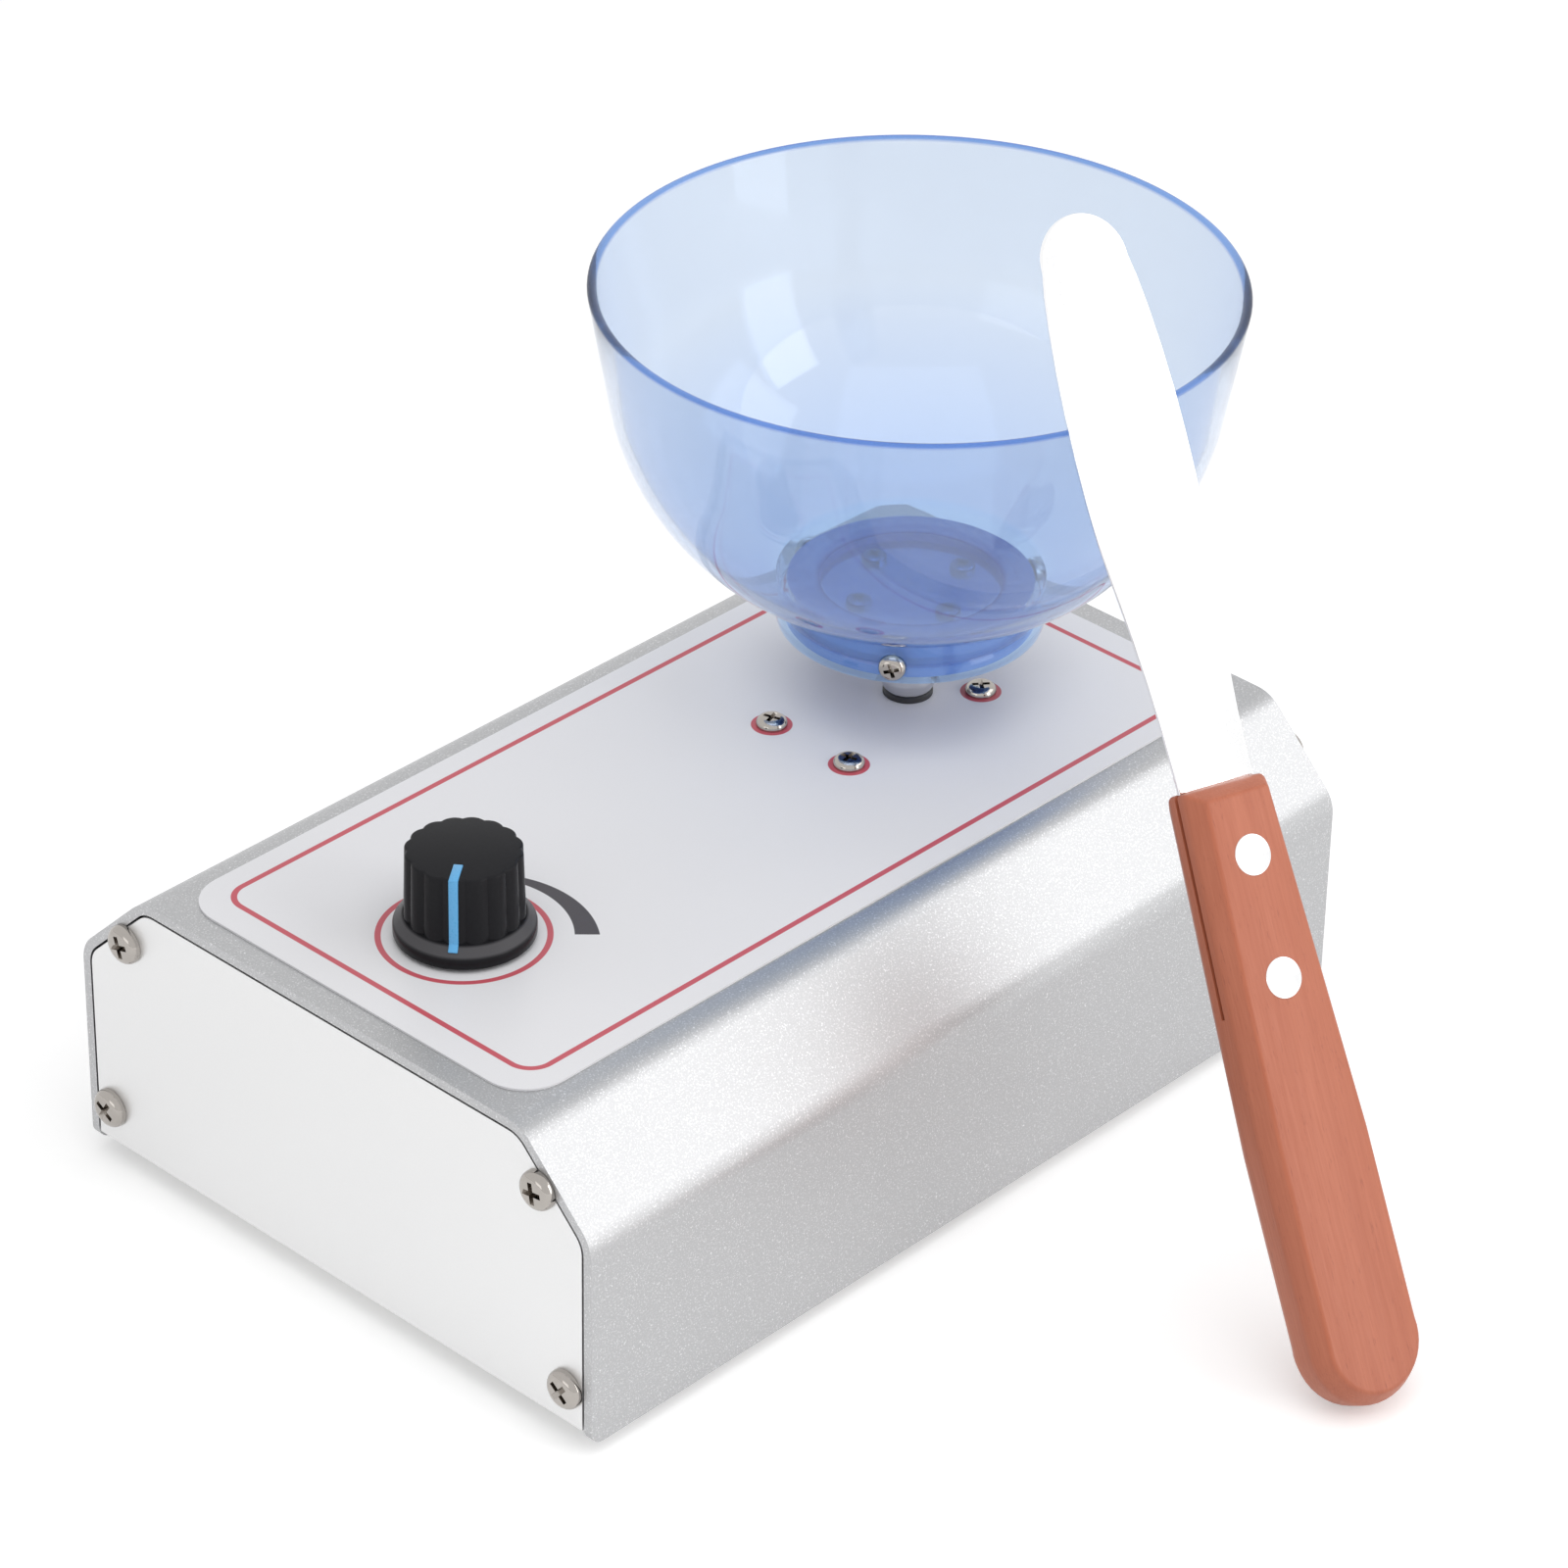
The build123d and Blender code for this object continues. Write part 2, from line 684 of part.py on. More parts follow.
with BuildPart() as output_gear:
    with BuildSketch(Plane.XY.offset(output_gear_bottom)):
        with Locations((0, shaft_y)):
            add(gear_outline(output_teeth, toward_idler))
    extrude(amount=output_gear_top - output_gear_bottom)
    with BuildSketch(Plane.XY.offset(output_hub_bottom)):
        with Locations((0, shaft_y)):
            Circle(output_hub_radius)
    extrude(amount=gear_cover_bottom - face_gap - output_hub_bottom)
    with BuildSketch(Plane.XY.offset(output_hub_bottom)):
        with Locations((0, shaft_y)):
            Circle(shaft_diameter / 2 + seat_fit)
    extrude(amount=gear_cover_bottom - output_hub_bottom, mode=Mode.SUBTRACT)
output_gear.part.label = "output_gear"
export_step(output_gear.part, "parts/output_gear.step")

with BuildPart() as idler_gear:
    with BuildSketch(Plane.XY.offset(idler_large_bottom)):
        with Locations((0, idler_y)):
            add(gear_outline(idler_large_teeth, toward_idler))
    extrude(amount=idler_large_top - idler_large_bottom)
    with BuildSketch(Plane.XY.offset(idler_large_top)):
        with Locations((0, idler_y)):
            add(gear_outline(idler_small_teeth, -toward_idler + small_pitch / 2))
    extrude(amount=idler_small_top - idler_large_top)
    with BuildSketch(Plane.XY.offset(gear_floor_top + face_gap)):
        with Locations((0, idler_y)):
            Circle(idler_hub_radius)
    extrude(amount=gear_cover_bottom - gear_floor_top - 2 * face_gap)
    with BuildSketch(Plane.XY.offset(gear_floor_top)):
        with Locations((0, idler_y)):
            Circle(axle_diameter / 2 + running_fit)
    extrude(amount=gear_cover_bottom - gear_floor_top, mode=Mode.SUBTRACT)
idler_gear.part.label = "idler_gear"
export_step(idler_gear.part, "parts/idler_gear.step")

with BuildPart() as motor_pinion:
    with BuildSketch(Plane.XY.offset(pinion_bottom)):
        with Locations((0, motor_y)):
            add(gear_outline(pinion_teeth, -toward_idler + 180 / pinion_teeth))
            Circle(motor_shaft_diameter / 2 + seat_fit, mode=Mode.SUBTRACT)
    extrude(amount=pinion_top - pinion_bottom)
motor_pinion.part.label = "motor_pinion"
export_step(motor_pinion.part, "parts/motor_pinion.step")

# ==== motor ===============================================================================
motor_bottom = gear_case_bottom - motor_height
motor_cap_top = motor_bottom + motor_cap_thickness
motor_inner_radius = motor_radius - motor_can_wall
bearing_radius = 4.0
bearing_length = 4.0
magnet_bottom = motor_cap_top + 5.5
magnet_top = gear_case_bottom - motor_face - 1.5
magnet_inner_radius = motor_inner_radius - seat_fit - magnet_thickness
armature_radius = magnet_inner_radius - armature_gap
commutator_radius = 3.6
commutator_bottom = motor_cap_top + 1.0
brush_length = 4.0
brush_height = 2.4
brush_width = 3.0
brush_bottom = motor_cap_top + 1.6
brush_holder_length = 5.0

with BuildPart() as motor_can:
    with BuildSketch(Plane.XY.offset(motor_cap_top)):
        with Locations((0, motor_y)):
            Circle(motor_radius)
    extrude(amount=gear_case_bottom - motor_cap_top)
    fillet(motor_can.edges().group_by(Axis.Z)[-1], radius=1.0)
    with BuildSketch(Plane.XY.offset(motor_cap_top)):
        with Locations((0, motor_y)):
            Circle(motor_inner_radius)
    extrude(amount=gear_case_bottom - motor_cap_top - motor_face, mode=Mode.SUBTRACT)
    with BuildSketch(Plane.XY.offset(gear_case_bottom)):
        with Locations((0, motor_y)):
            Circle(bearing_radius + seat_fit)
        with Locations(*motor_screw_points):
            Circle(motor_screw_diameter / 2 + seat_fit)
    extrude(amount=-2 * motor_face, mode=Mode.SUBTRACT)
motor_can.part.label = "motor_can"
export_step(motor_can.part, "parts/motor_can.step")

with BuildPart() as motor_end_cap:
    with BuildSketch(Plane.XY.offset(motor_bottom)):
        with Locations((0, motor_y)):
            Circle(motor_radius)
    extrude(amount=motor_cap_thickness)
    with BuildSketch(Plane.XY.offset(motor_cap_top)):
        with Locations((0, motor_y)):
            Circle(motor_inner_radius - seat_fit)
            Circle(motor_inner_radius - 2.0, mode=Mode.SUBTRACT)
        holder_middle = commutator_radius + near_gap + brush_length + brush_holder_length / 2
        with Locations(*[(s * holder_middle, motor_y) for s in (-1, 1)]):
            Rectangle(brush_holder_length, brush_width + 2.0)
    extrude(amount=brush_bottom + brush_height - motor_cap_top)
    with BuildSketch(Plane.XY.offset(motor_bottom)):
        with Locations((0, motor_y)):
            Circle(bearing_radius + seat_fit)
    extrude(amount=motor_cap_thickness, mode=Mode.SUBTRACT)
motor_end_cap.part.label = "motor_end_cap"
export_step(motor_end_cap.part, "parts/motor_end_cap.step")

with BuildPart() as motor_magnets:
    with BuildSketch(Plane.XY.offset(magnet_bottom)):
        with Locations((0, motor_y)):
            Circle(motor_inner_radius - seat_fit)
            Circle(magnet_inner_radius, mode=Mode.SUBTRACT)
            Rectangle(magnet_gap, 2 * motor_radius, mode=Mode.SUBTRACT)
    extrude(amount=magnet_top - magnet_bottom)
motor_magnets.part.label = "motor_magnets"
export_step(motor_magnets.part, "parts/motor_magnets.step")

with BuildPart() as motor_bearings:
    for bottom in (motor_bottom, gear_case_bottom - bearing_length):
        length = motor_cap_thickness + 0.8 if bottom == motor_bottom else bearing_length
        with BuildSketch(Plane.XY.offset(bottom)):
            with Locations((0, motor_y)):
                Circle(bearing_radius)
                Circle(motor_shaft_diameter / 2 + running_fit, mode=Mode.SUBTRACT)
        extrude(amount=length)
motor_bearings.part.label = "motor_bearings"
export_step(motor_bearings.part, "parts/motor_bearings.step")

with BuildPart() as motor_brushes:
    brush_middle = commutator_radius + near_gap + brush_length / 2
    with BuildSketch(Plane.XY.offset(brush_bottom)):
        with Locations(*[(s * brush_middle, motor_y) for s in (-1, 1)]):
            Rectangle(brush_length, brush_width)
    extrude(amount=brush_height)
motor_brushes.part.label = "motor_brushes"
export_step(motor_brushes.part, "parts/motor_brushes.step")

motor_screw = pan_screw(
    motor_screw_head, motor_screw_head_height, motor_screw_diameter,
    gear_case_floor + motor_face,
)
with BuildPart() as motor_screws:
    with Locations(*[(x, y, gear_floor_top) for x, y in motor_screw_points]):
        add(motor_screw)
motor_screws.part.label = "motor_screws"
export_step(motor_screws.part, "parts/motor_screws.step")

with BuildPart() as motor_shaft:
    with BuildSketch(Plane.XY.offset(motor_bottom)):
        with Locations((0, motor_y)):
            Circle(motor_shaft_diameter / 2)
    extrude(amount=pinion_top - motor_bottom)
motor_shaft.part.label = "motor_shaft"
export_step(motor_shaft.part, "parts/motor_shaft.step")

armature_bottom = magnet_bottom + 1.0
armature_top = magnet_top - 1.0
slot_count = 5
with BuildPart() as motor_armature:
    with BuildSketch(Plane.XY.offset(armature_bottom)):
        with Locations((0, motor_y)):
            Circle(armature_radius)
    extrude(amount=armature_top - armature_bottom)
    with BuildSketch(Plane.XY.offset(armature_bottom)):
        with Locations((0, motor_y)):
            with PolarLocations(0.72 * armature_radius, slot_count):
                SlotCenterToCenter(0.34 * armature_radius, 3.2)
            with PolarLocations(armature_radius, slot_count):
                Rectangle(0.3 * armature_radius, 1.2)
    extrude(amount=armature_top - armature_bottom, mode=Mode.SUBTRACT)
    with BuildSketch(Plane.XY.offset(commutator_bottom)):
        with Locations((0, motor_y)):
            Circle(commutator_radius)
    extrude(amount=armature_bottom - commutator_bottom)
    with BuildSketch(Plane.XY.offset(commutator_bottom)):
        with Locations((0, motor_y)):
            Circle(motor_shaft_diameter / 2 + seat_fit)
    extrude(amount=armature_top - commutator_bottom, mode=Mode.SUBTRACT)
motor_armature.part.label = "motor_armature"
export_step(motor_armature.part, "parts/motor_armature.step")

# ==== output shaft, hub and bowl ==========================================================
shaft_top = pocket_bottom - 1.6
set_screw_diameter = 4.0
set_screw_z = neck_bottom + 9.0

with BuildPart() as output_shaft:
    with BuildSketch(Plane.XY.offset(gear_case_bottom)):
        with Locations((0, shaft_y)):
            Circle(shaft_diameter / 2)
    extrude(amount=shaft_top - gear_case_bottom)
    chamfer(output_shaft.edges().filter_by(GeomType.CIRCLE), length=0.4)
output_shaft.part.label = "output_shaft"
export_step(output_shaft.part, "parts/output_shaft.step")

with BuildPart() as hub_neck:
    with BuildSketch(Plane.XY.offset(neck_bottom)):
        with Locations((0, shaft_y)):
            Circle(neck_diameter / 2 - neck_taper_inset)
    extrude(amount=neck_taper_height, taper=-degrees(atan(neck_taper_inset / neck_taper_height)))
    with BuildSketch(Plane.XY.offset(neck_bottom + neck_taper_height)):
        with Locations((0, shaft_y)):
            Circle(neck_diameter / 2)
    extrude(amount=pocket_bottom - neck_bottom - neck_taper_height)
    with BuildSketch(Plane.XY.offset(pocket_bottom)):
        with Locations((0, shaft_y)):
            Circle(hub_flange_radius)
    extrude(amount=hub_flange_thickness)
    with BuildSketch(Plane.XY.offset(neck_bottom)):
        with Locations((0, shaft_y)):
            Circle(shaft_diameter / 2 + seat_fit)
    extrude(amount=shaft_top - neck_bottom, mode=Mode.SUBTRACT)
    with BuildSketch(Plane.XY.offset(pocket_bottom)):
        with Locations((0, shaft_y)):
            with PolarLocations(hub_screw_circle, 4, start_angle=hub_screw_start):
                Circle(bowl_screw_diameter / 2 + hole_play)
    extrude(amount=hub_flange_thickness, mode=Mode.SUBTRACT)
    with BuildSketch(rear_plane(0, shaft_y, set_screw_z)):
        Circle(set_screw_diameter / 2 + seat_fit)
    extrude(amount=neck_diameter, mode=Mode.SUBTRACT)
hub_neck.part.label = "hub_neck"
export_step(hub_neck.part, "parts/hub_neck.step")

with BuildPart() as neck_set_screw:
    with BuildSketch(rear_plane(0, shaft_y + shaft_diameter / 2 + seat_fit, set_screw_z)):
        Circle(set_screw_diameter / 2)
        RegularPolygon(radius=1.1, side_count=6, mode=Mode.SUBTRACT)
    extrude(amount=(neck_diameter - shaft_diameter) / 2 - near_gap)
neck_set_screw.part.label = "neck_set_screw"
export_step(neck_set_screw.part, "parts/neck_set_screw.step")

bowl_screw_z = foot_ring_bottom + bowl_screw_rise
bowl_screw_length = 6.4
seat_radius = foot_ring_radius - bowl_screw_seat
groove_depth = 1.2
groove_width = 2.4


def bowl_screw_planes(radius):
    """Planes that face outwards round the foot ring, one for each side screw."""
    planes = []
    for i in range(bowl_screw_count):
        angle = radians(bowl_screw_angle + 360 / bowl_screw_count * i)
        out = (cos(angle), sin(angle), 0)
        place = (radius * out[0], shaft_y + radius * out[1], bowl_screw_z)
        planes.append(Plane(origin=place, x_dir=(-out[1], out[0], 0), z_dir=out))
    return planes


with BuildPart() as hub_disc:
    with BuildSketch(Plane.XY.offset(hub_bottom)):
        with Locations((0, shaft_y)):
            Circle(hub_radius)
    extrude(amount=floor_bottom - hub_bottom)
    with BuildSketch(Plane.XY.offset(bowl_screw_z - groove_width / 2)):
        with Locations((0, shaft_y)):
            Circle(hub_radius + 1)
            Circle(hub_radius - groove_depth, mode=Mode.SUBTRACT)
    extrude(amount=groove_width, mode=Mode.SUBTRACT)
    with BuildSketch(Plane.XY.offset(pocket_bottom)):
        with Locations((0, shaft_y)):
            Circle(hub_flange_radius + seat_fit)
    extrude(amount=hub_pocket_depth, mode=Mode.SUBTRACT)
    with BuildSketch(Plane.XY.offset(hub_bottom)):
        with Locations((0, shaft_y)):
            Circle(neck_diameter / 2 + seat_fit)
            with PolarLocations(hub_screw_circle, 4, start_angle=hub_screw_start):
                Circle(bowl_screw_diameter / 2 + seat_fit)
    extrude(amount=floor_bottom - hub_bottom, mode=Mode.SUBTRACT)
    for plane in bowl_screw_planes(seat_radius - bowl_screw_length - 0.5):
        with BuildSketch(plane):
            Circle(bowl_screw_diameter / 2 + seat_fit)
        extrude(amount=bowl_screw_length, mode=Mode.SUBTRACT)
hub_disc.part.label = "hub_disc"
export_step(hub_disc.part, "parts/hub_disc.step")

hub_screw = pan_screw(
    hub_screw_head, hub_screw_head_height, bowl_screw_diameter, hub_screw_length
)
with BuildPart() as hub_screws:
    with Locations((0, shaft_y, pocket_bottom + hub_flange_thickness)):
        with PolarLocations(hub_screw_circle, 4, start_angle=hub_screw_start):
            add(hub_screw)
hub_screws.part.label = "hub_screws"
export_step(hub_screws.part, "parts/hub_screws.step")

# The bowl's outside: a drafted wall that runs on, tangent, into one large arc down to the foot.
spring_z = rim_top - rim_wall_length
spring_radius = rim_radius - rim_wall_length * tan(wall_draft)
junction_z = foot_ring_bottom + foot_ring_height
drop = (spring_radius - foot_ring_radius, spring_z - junction_z)
curve_radius = (drop[0] ** 2 + drop[1] ** 2) / (
    2 * (drop[0] * cos(wall_draft) - drop[1] * sin(wall_draft))
)
curve_centre_x = spring_radius - curve_radius * cos(wall_draft)
curve_centre_z = spring_z + curve_radius * sin(wall_draft)
inner_curve_radius = curve_radius - bowl_wall
inner_spring = (
    spring_radius - bowl_wall * cos(wall_draft), spring_z + bowl_wall * sin(wall_draft)
)
inner_floor_radius = curve_centre_x + sqrt(
    inner_curve_radius**2 - (curve_centre_z - floor_top) ** 2
)
inner_rim_radius = rim_radius - bowl_wall / cos(wall_draft)
wall_tangent = (-sin(wall_draft), -cos(wall_draft))

with BuildPart() as mixing_bowl:
    with BuildSketch(Plane.XZ.offset(-shaft_y)) as bowl_section:
        with BuildLine():
            Line((0, floor_bottom), (foot_ring_radius - foot_ring_wall, floor_bottom))
            Line(
                (foot_ring_radius - foot_ring_wall, floor_bottom),
                (foot_ring_radius - foot_ring_wall, foot_ring_bottom),
            )
            Line(
                (foot_ring_radius - foot_ring_wall, foot_ring_bottom),
                (foot_ring_radius, foot_ring_bottom),
            )
            Line((foot_ring_radius, foot_ring_bottom), (foot_ring_radius, junction_z))
            TangentArc(
                (spring_radius, spring_z), (foot_ring_radius, junction_z), tangent=wall_tangent
            )
            Line((spring_radius, spring_z), (rim_radius, rim_top))
            Line((rim_radius, rim_top), (inner_rim_radius, rim_top))
            Line((inner_rim_radius, rim_top), inner_spring)
            TangentArc(inner_spring, (inner_floor_radius, floor_top), tangent=wall_tangent)
            Line((inner_floor_radius, floor_top), (0, floor_top))
            Line((0, floor_top), (0, floor_bottom))
        make_face()
        fillet(bowl_section.vertices().group_by(Axis.Y)[-1], radius=0.9)
    revolve(axis=Axis((0, shaft_y, 0), (0, 0, 1)))
    for plane in bowl_screw_planes(seat_radius):
        with BuildSketch(plane):
            Circle(bowl_screw_head / 2 + near_gap)
        extrude(amount=2 * bowl_screw_seat, mode=Mode.SUBTRACT)
        with BuildSketch(plane):
            Circle(bowl_screw_diameter / 2 + hole_play)
        extrude(amount=-foot_ring_wall, mode=Mode.SUBTRACT)
mixing_bowl.part.label = "mixing_bowl"
export_step(mixing_bowl.part, "parts/mixing_bowl.step")

bowl_screw = pan_screw(
    bowl_screw_head, bowl_screw_head_height, bowl_screw_diameter, bowl_screw_length
)
with BuildPart() as bowl_screws:
    with Locations(*[Location(plane) for plane in bowl_screw_planes(seat_radius)]):
        add(bowl_screw)
bowl_screws.part.label = "bowl_screws"
export_step(bowl_screws.part, "parts/bowl_screws.step")

# ==== speed knob and potentiometer ========================================================
knob_bottom = panel_top + knob_lift
knob_top = panel_top + knob_height
skirt_top = panel_top + skirt_band
bevel_top = skirt_top + skirt_bevel
knob_recess_top = panel_top + pot_nut_height + 1.8
knob_recess_radius = 7.2
pot_bottom = inner_top - pot_height
pot_shaft_top = knob_top - 3.4
wiper_bottom = pot_bottom + 3.6
wiper_thickness = 1.6
wiper_radius = pot_radius - pot_wall - 1.0


def lobed_outline(radius):
    """The fluted outline of the knob: a ring of equal lobes that touch the given radius."""
    with BuildSketch() as lobes:
        Circle(radius - knob_lobe_radius / 2)
        with PolarLocations(radius - knob_lobe_radius, knob_lobes, start_angle=pointer_angle):
            Circle(knob_lobe_radius)
    return lobes.sketch


# The pointer is one flat strip: along the top face, down the flutes and onto the bevel.
strip_top = knob_top + pointer_proud
strip_foot_inset = 0.9
strip_foot_radius = skirt_radius - strip_foot_inset
strip_foot_z = skirt_top + strip_foot_inset * skirt_bevel / (skirt_radius - knob_base_radius)
pointer_plane = Plane(
    origin=(0, knob_y, 0),
    x_dir=(cos(radians(pointer_angle)), sin(radians(pointer_angle)), 0),
    z_dir=(sin(radians(pointer_angle)), -cos(radians(pointer_angle)), 0),
)
with BuildPart() as knob_pointer:
    with BuildSketch(pointer_plane):
        with BuildLine():
            Polyline(
                (knob_top_radius - pointer_reach, strip_top),
                (knob_top_radius + pointer_proud, strip_top),
                (knob_base_radius + pointer_proud, bevel_top + pointer_proud),
                (strip_foot_radius + pointer_proud, strip_foot_z + pointer_proud),
                (strip_foot_radius - pointer_depth, strip_foot_z - pointer_depth),
                (knob_base_radius - pointer_depth, bevel_top - pointer_depth),
                (knob_top_radius - pointer_depth, knob_top - pointer_depth),
                (knob_top_radius - pointer_reach, knob_top - pointer_depth),
                close=True,
            )
        make_face()
    extrude(amount=pointer_width / 2, both=True)
knob_pointer.part.label = "knob_pointer"
export_step(knob_pointer.part, "parts/knob_pointer.step")

with BuildPart() as speed_knob:
    with BuildSketch(Plane.XY.offset(knob_bottom)):
        with Locations((0, knob_y)):
            Circle(skirt_radius)
    extrude(amount=bevel_top - knob_bottom)
    skirt_edge = speed_knob.edges().group_by(Axis.Z)[-1]
    chamfer(skirt_edge, length=skirt_bevel, length2=skirt_radius - knob_base_radius)
    with BuildSketch(Plane.XY.offset(bevel_top)):
        with Locations((0, knob_y)):
            add(lobed_outline(knob_base_radius))
    with BuildSketch(Plane.XY.offset(knob_top)):
        with Locations((0, knob_y)):
            add(lobed_outline(knob_top_radius))
    loft()
    with BuildSketch(Plane.XY.offset(knob_bottom)):
        with Locations((0, knob_y)):
            Circle(knob_recess_radius)
    extrude(amount=knob_recess_top - knob_bottom, mode=Mode.SUBTRACT)
    with BuildSketch(Plane.XY.offset(knob_bottom)):
        with Locations((0, knob_y)):
            Circle(pot_shaft_diameter / 2 + seat_fit)
    extrude(amount=pot_shaft_top - knob_bottom, mode=Mode.SUBTRACT)
    add(knob_pointer.part, mode=Mode.SUBTRACT)
speed_knob.part.label = "speed_knob"
export_step(speed_knob.part, "parts/speed_knob.step")

with BuildPart() as potentiometer_shaft:
    with BuildSketch(Plane.XY.offset(wiper_bottom)):
        with Locations((0, knob_y)):
            Circle(pot_shaft_diameter / 2)
    extrude(amount=pot_shaft_top - wiper_bottom)
    with BuildSketch(Plane.XY.offset(wiper_bottom)):
        with Locations((0, knob_y)):
            Circle(wiper_radius)
    extrude(amount=wiper_thickness)
potentiometer_shaft.part.label = "potentiometer_shaft"
export_step(potentiometer_shaft.part, "parts/potentiometer_shaft.step")

lug_length = 7.0
lug_width = 2.4
lug_spacing = 5.0
with BuildPart() as potentiometer_body:
    with BuildSketch(Plane.XY.offset(pot_bottom)):
        with Locations((0, knob_y)):
            Circle(pot_radius)
    extrude(amount=pot_height)
    with BuildSketch(Plane.XY.offset(inner_top)):
        with Locations((0, knob_y)):
            Circle(pot_thread_diameter / 2)
    extrude(amount=pot_thread_length)
    with BuildSketch(Plane.XY.offset(pot_bottom + pot_wall)):
        with Locations((0, knob_y)):
            Circle(pot_radius - pot_wall)
    extrude(amount=pot_height - 2 * pot_wall, mode=Mode.SUBTRACT)
    with BuildSketch(Plane.XY.offset(pot_bottom + pot_wall)):
        with Locations((0, knob_y)):
            Circle(pot_shaft_diameter / 2 + running_fit)
    extrude(amount=pot_height + pot_thread_length, mode=Mode.SUBTRACT)
    with BuildSketch(Plane.XY.offset(pot_bottom + pot_wall / 2)):
        with Locations(*[(i * lug_spacing, knob_y + pot_radius) for i in (-1, 0, 1)]):
            Rectangle(lug_width, lug_length)
    extrude(amount=pot_wall / 2)
potentiometer_body.part.label = "potentiometer_body"
export_step(potentiometer_body.part, "parts/potentiometer_body.step")

with BuildPart() as potentiometer_nut:
    with BuildSketch(Plane.XY.offset(panel_top)):
        with Locations((0, knob_y)):
            RegularPolygon(radius=pot_nut_width / 2, side_count=6, major_radius=False)
            Circle(pot_thread_diameter / 2 + seat_fit, mode=Mode.SUBTRACT)
    extrude(amount=pot_nut_height)
potentiometer_nut.part.label = "potentiometer_nut"
export_step(potentiometer_nut.part, "parts/potentiometer_nut.step")

# ==== speed control board =================================================================
with BuildPart() as board_standoffs:
    with BuildSketch(Plane.XY.offset(base_top)):
        with Locations(*standoff_points):
            RegularPolygon(radius=standoff_radius, side_count=6)
    extrude(amount=board_lift)
    with BuildSketch(Plane.XY.offset(base_bottom)):
        with Locations(*standoff_points):
            Circle(standoff_stud_radius)
    extrude(amount=base_thickness)
    with BuildSketch(Plane.XY.offset(board_bottom)):
        with Locations(*standoff_points):
            Circle(board_screw_diameter / 2 + seat_fit)
    extrude(amount=-board_screw_length, mode=Mode.SUBTRACT)
board_standoffs.part.label = "board_standoffs"
export_step(board_standoffs.part, "parts/board_standoffs.step")

sink_width = 34.0
sink_depth = 12.0
sink_height = 26.0
sink_web = 3.0
sink_fins = 7
sink_fin_thickness = 1.6
sink_x = 18.0
sink_y = board_y + 16.0
transistor_width = 10.0
transistor_depth = 4.4
transistor_height = 15.5
transistor_lift = 5.0
leg_spacing = 2.54
leg_size = 0.8
capacitor_x = -26.0
large_capacitor_y = board_y + 10.0
large_capacitor_radius = 6.5
large_capacitor_height = 24.0
small_capacitor_y = board_y - 12.0
small_capacitor_radius = 5.0
small_capacitor_height = 18.0
capacitor_sizes = (
    (capacitor_x, large_capacitor_y, large_capacitor_radius, large_capacitor_height),
    (capacitor_x, small_capacitor_y, small_capacitor_radius, small_capacitor_height),
)
block_x = 16.0
block_y = board_y - 18.0
block_width = 30.0
block_depth = 9.0
block_height = 11.0
block_ways = 6
leg_points = [
    (sink_x + i * leg_spacing, sink_y - sink_depth / 2 - transistor_depth / 2)
    for i in (-1, 0, 1)
]
with BuildPart() as speed_control_board:
    with BuildSketch(Plane.XY.offset(board_bottom)):
        with Locations((0, board_y)):
            Rectangle(board_width, board_depth)
        with Locations(*standoff_points):
            Circle(board_screw_diameter / 2 + hole_play, mode=Mode.SUBTRACT)
        with Locations(*leg_points):
            Circle(leg_size, mode=Mode.SUBTRACT)
    extrude(amount=board_thickness)
speed_control_board.part.label = "speed_control_board"
export_step(speed_control_board.part, "parts/speed_control_board.step")

board_screw_head_height = 2.0
board_screw = pan_screw(
    board_screw_head, board_screw_head_height, board_screw_diameter, board_screw_length
)
with BuildPart() as board_screws:
    with Locations(*[(x, y, board_top) for x, y in standoff_points]):
        add(board_screw)
board_screws.part.label = "board_screws"
export_step(board_screws.part, "parts/board_screws.step")

with BuildPart() as board_capacitors:
    for x, y, radius, height in capacitor_sizes:
        with BuildSketch(Plane.XY.offset(board_top)):
            with Locations((x, y)):
                Circle(radius)
        extrude(amount=height)
    tops = board_capacitors.faces().filter_by(Axis.Z).filter_by(lambda f: f.normal_at().Z > 0)
    fillet(tops.edges(), radius=0.8)
board_capacitors.part.label = "board_capacitors"
export_step(board_capacitors.part, "parts/board_capacitors.step")

with BuildPart() as heat_sink:
    fin_pitch = (sink_width - sink_fin_thickness) / (sink_fins - 1)
    with BuildSketch(Plane.XY.offset(board_top)):
        with Locations((sink_x, sink_y - sink_depth / 2 + sink_web / 2)):
            Rectangle(sink_width, sink_web)
        with Locations((sink_x, sink_y)):
            with GridLocations(fin_pitch, 0, sink_fins, 1):
                Rectangle(sink_fin_thickness, sink_depth)
    extrude(amount=sink_height)
heat_sink.part.label = "heat_sink"
export_step(heat_sink.part, "parts/heat_sink.step")

with BuildPart() as power_transistor:
    with BuildSketch(Plane.XY.offset(board_top + transistor_lift)):
        with Locations((sink_x, leg_points[0][1])):
            Rectangle(transistor_width, transistor_depth)
    extrude(amount=transistor_height)
    with BuildSketch(Plane.XY.offset(board_bottom)):
        with Locations(*leg_points):
            Rectangle(leg_size, leg_size)
    extrude(amount=board_thickness + transistor_lift)
power_transistor.part.label = "power_transistor"
export_step(power_transistor.part, "parts/power_transistor.step")

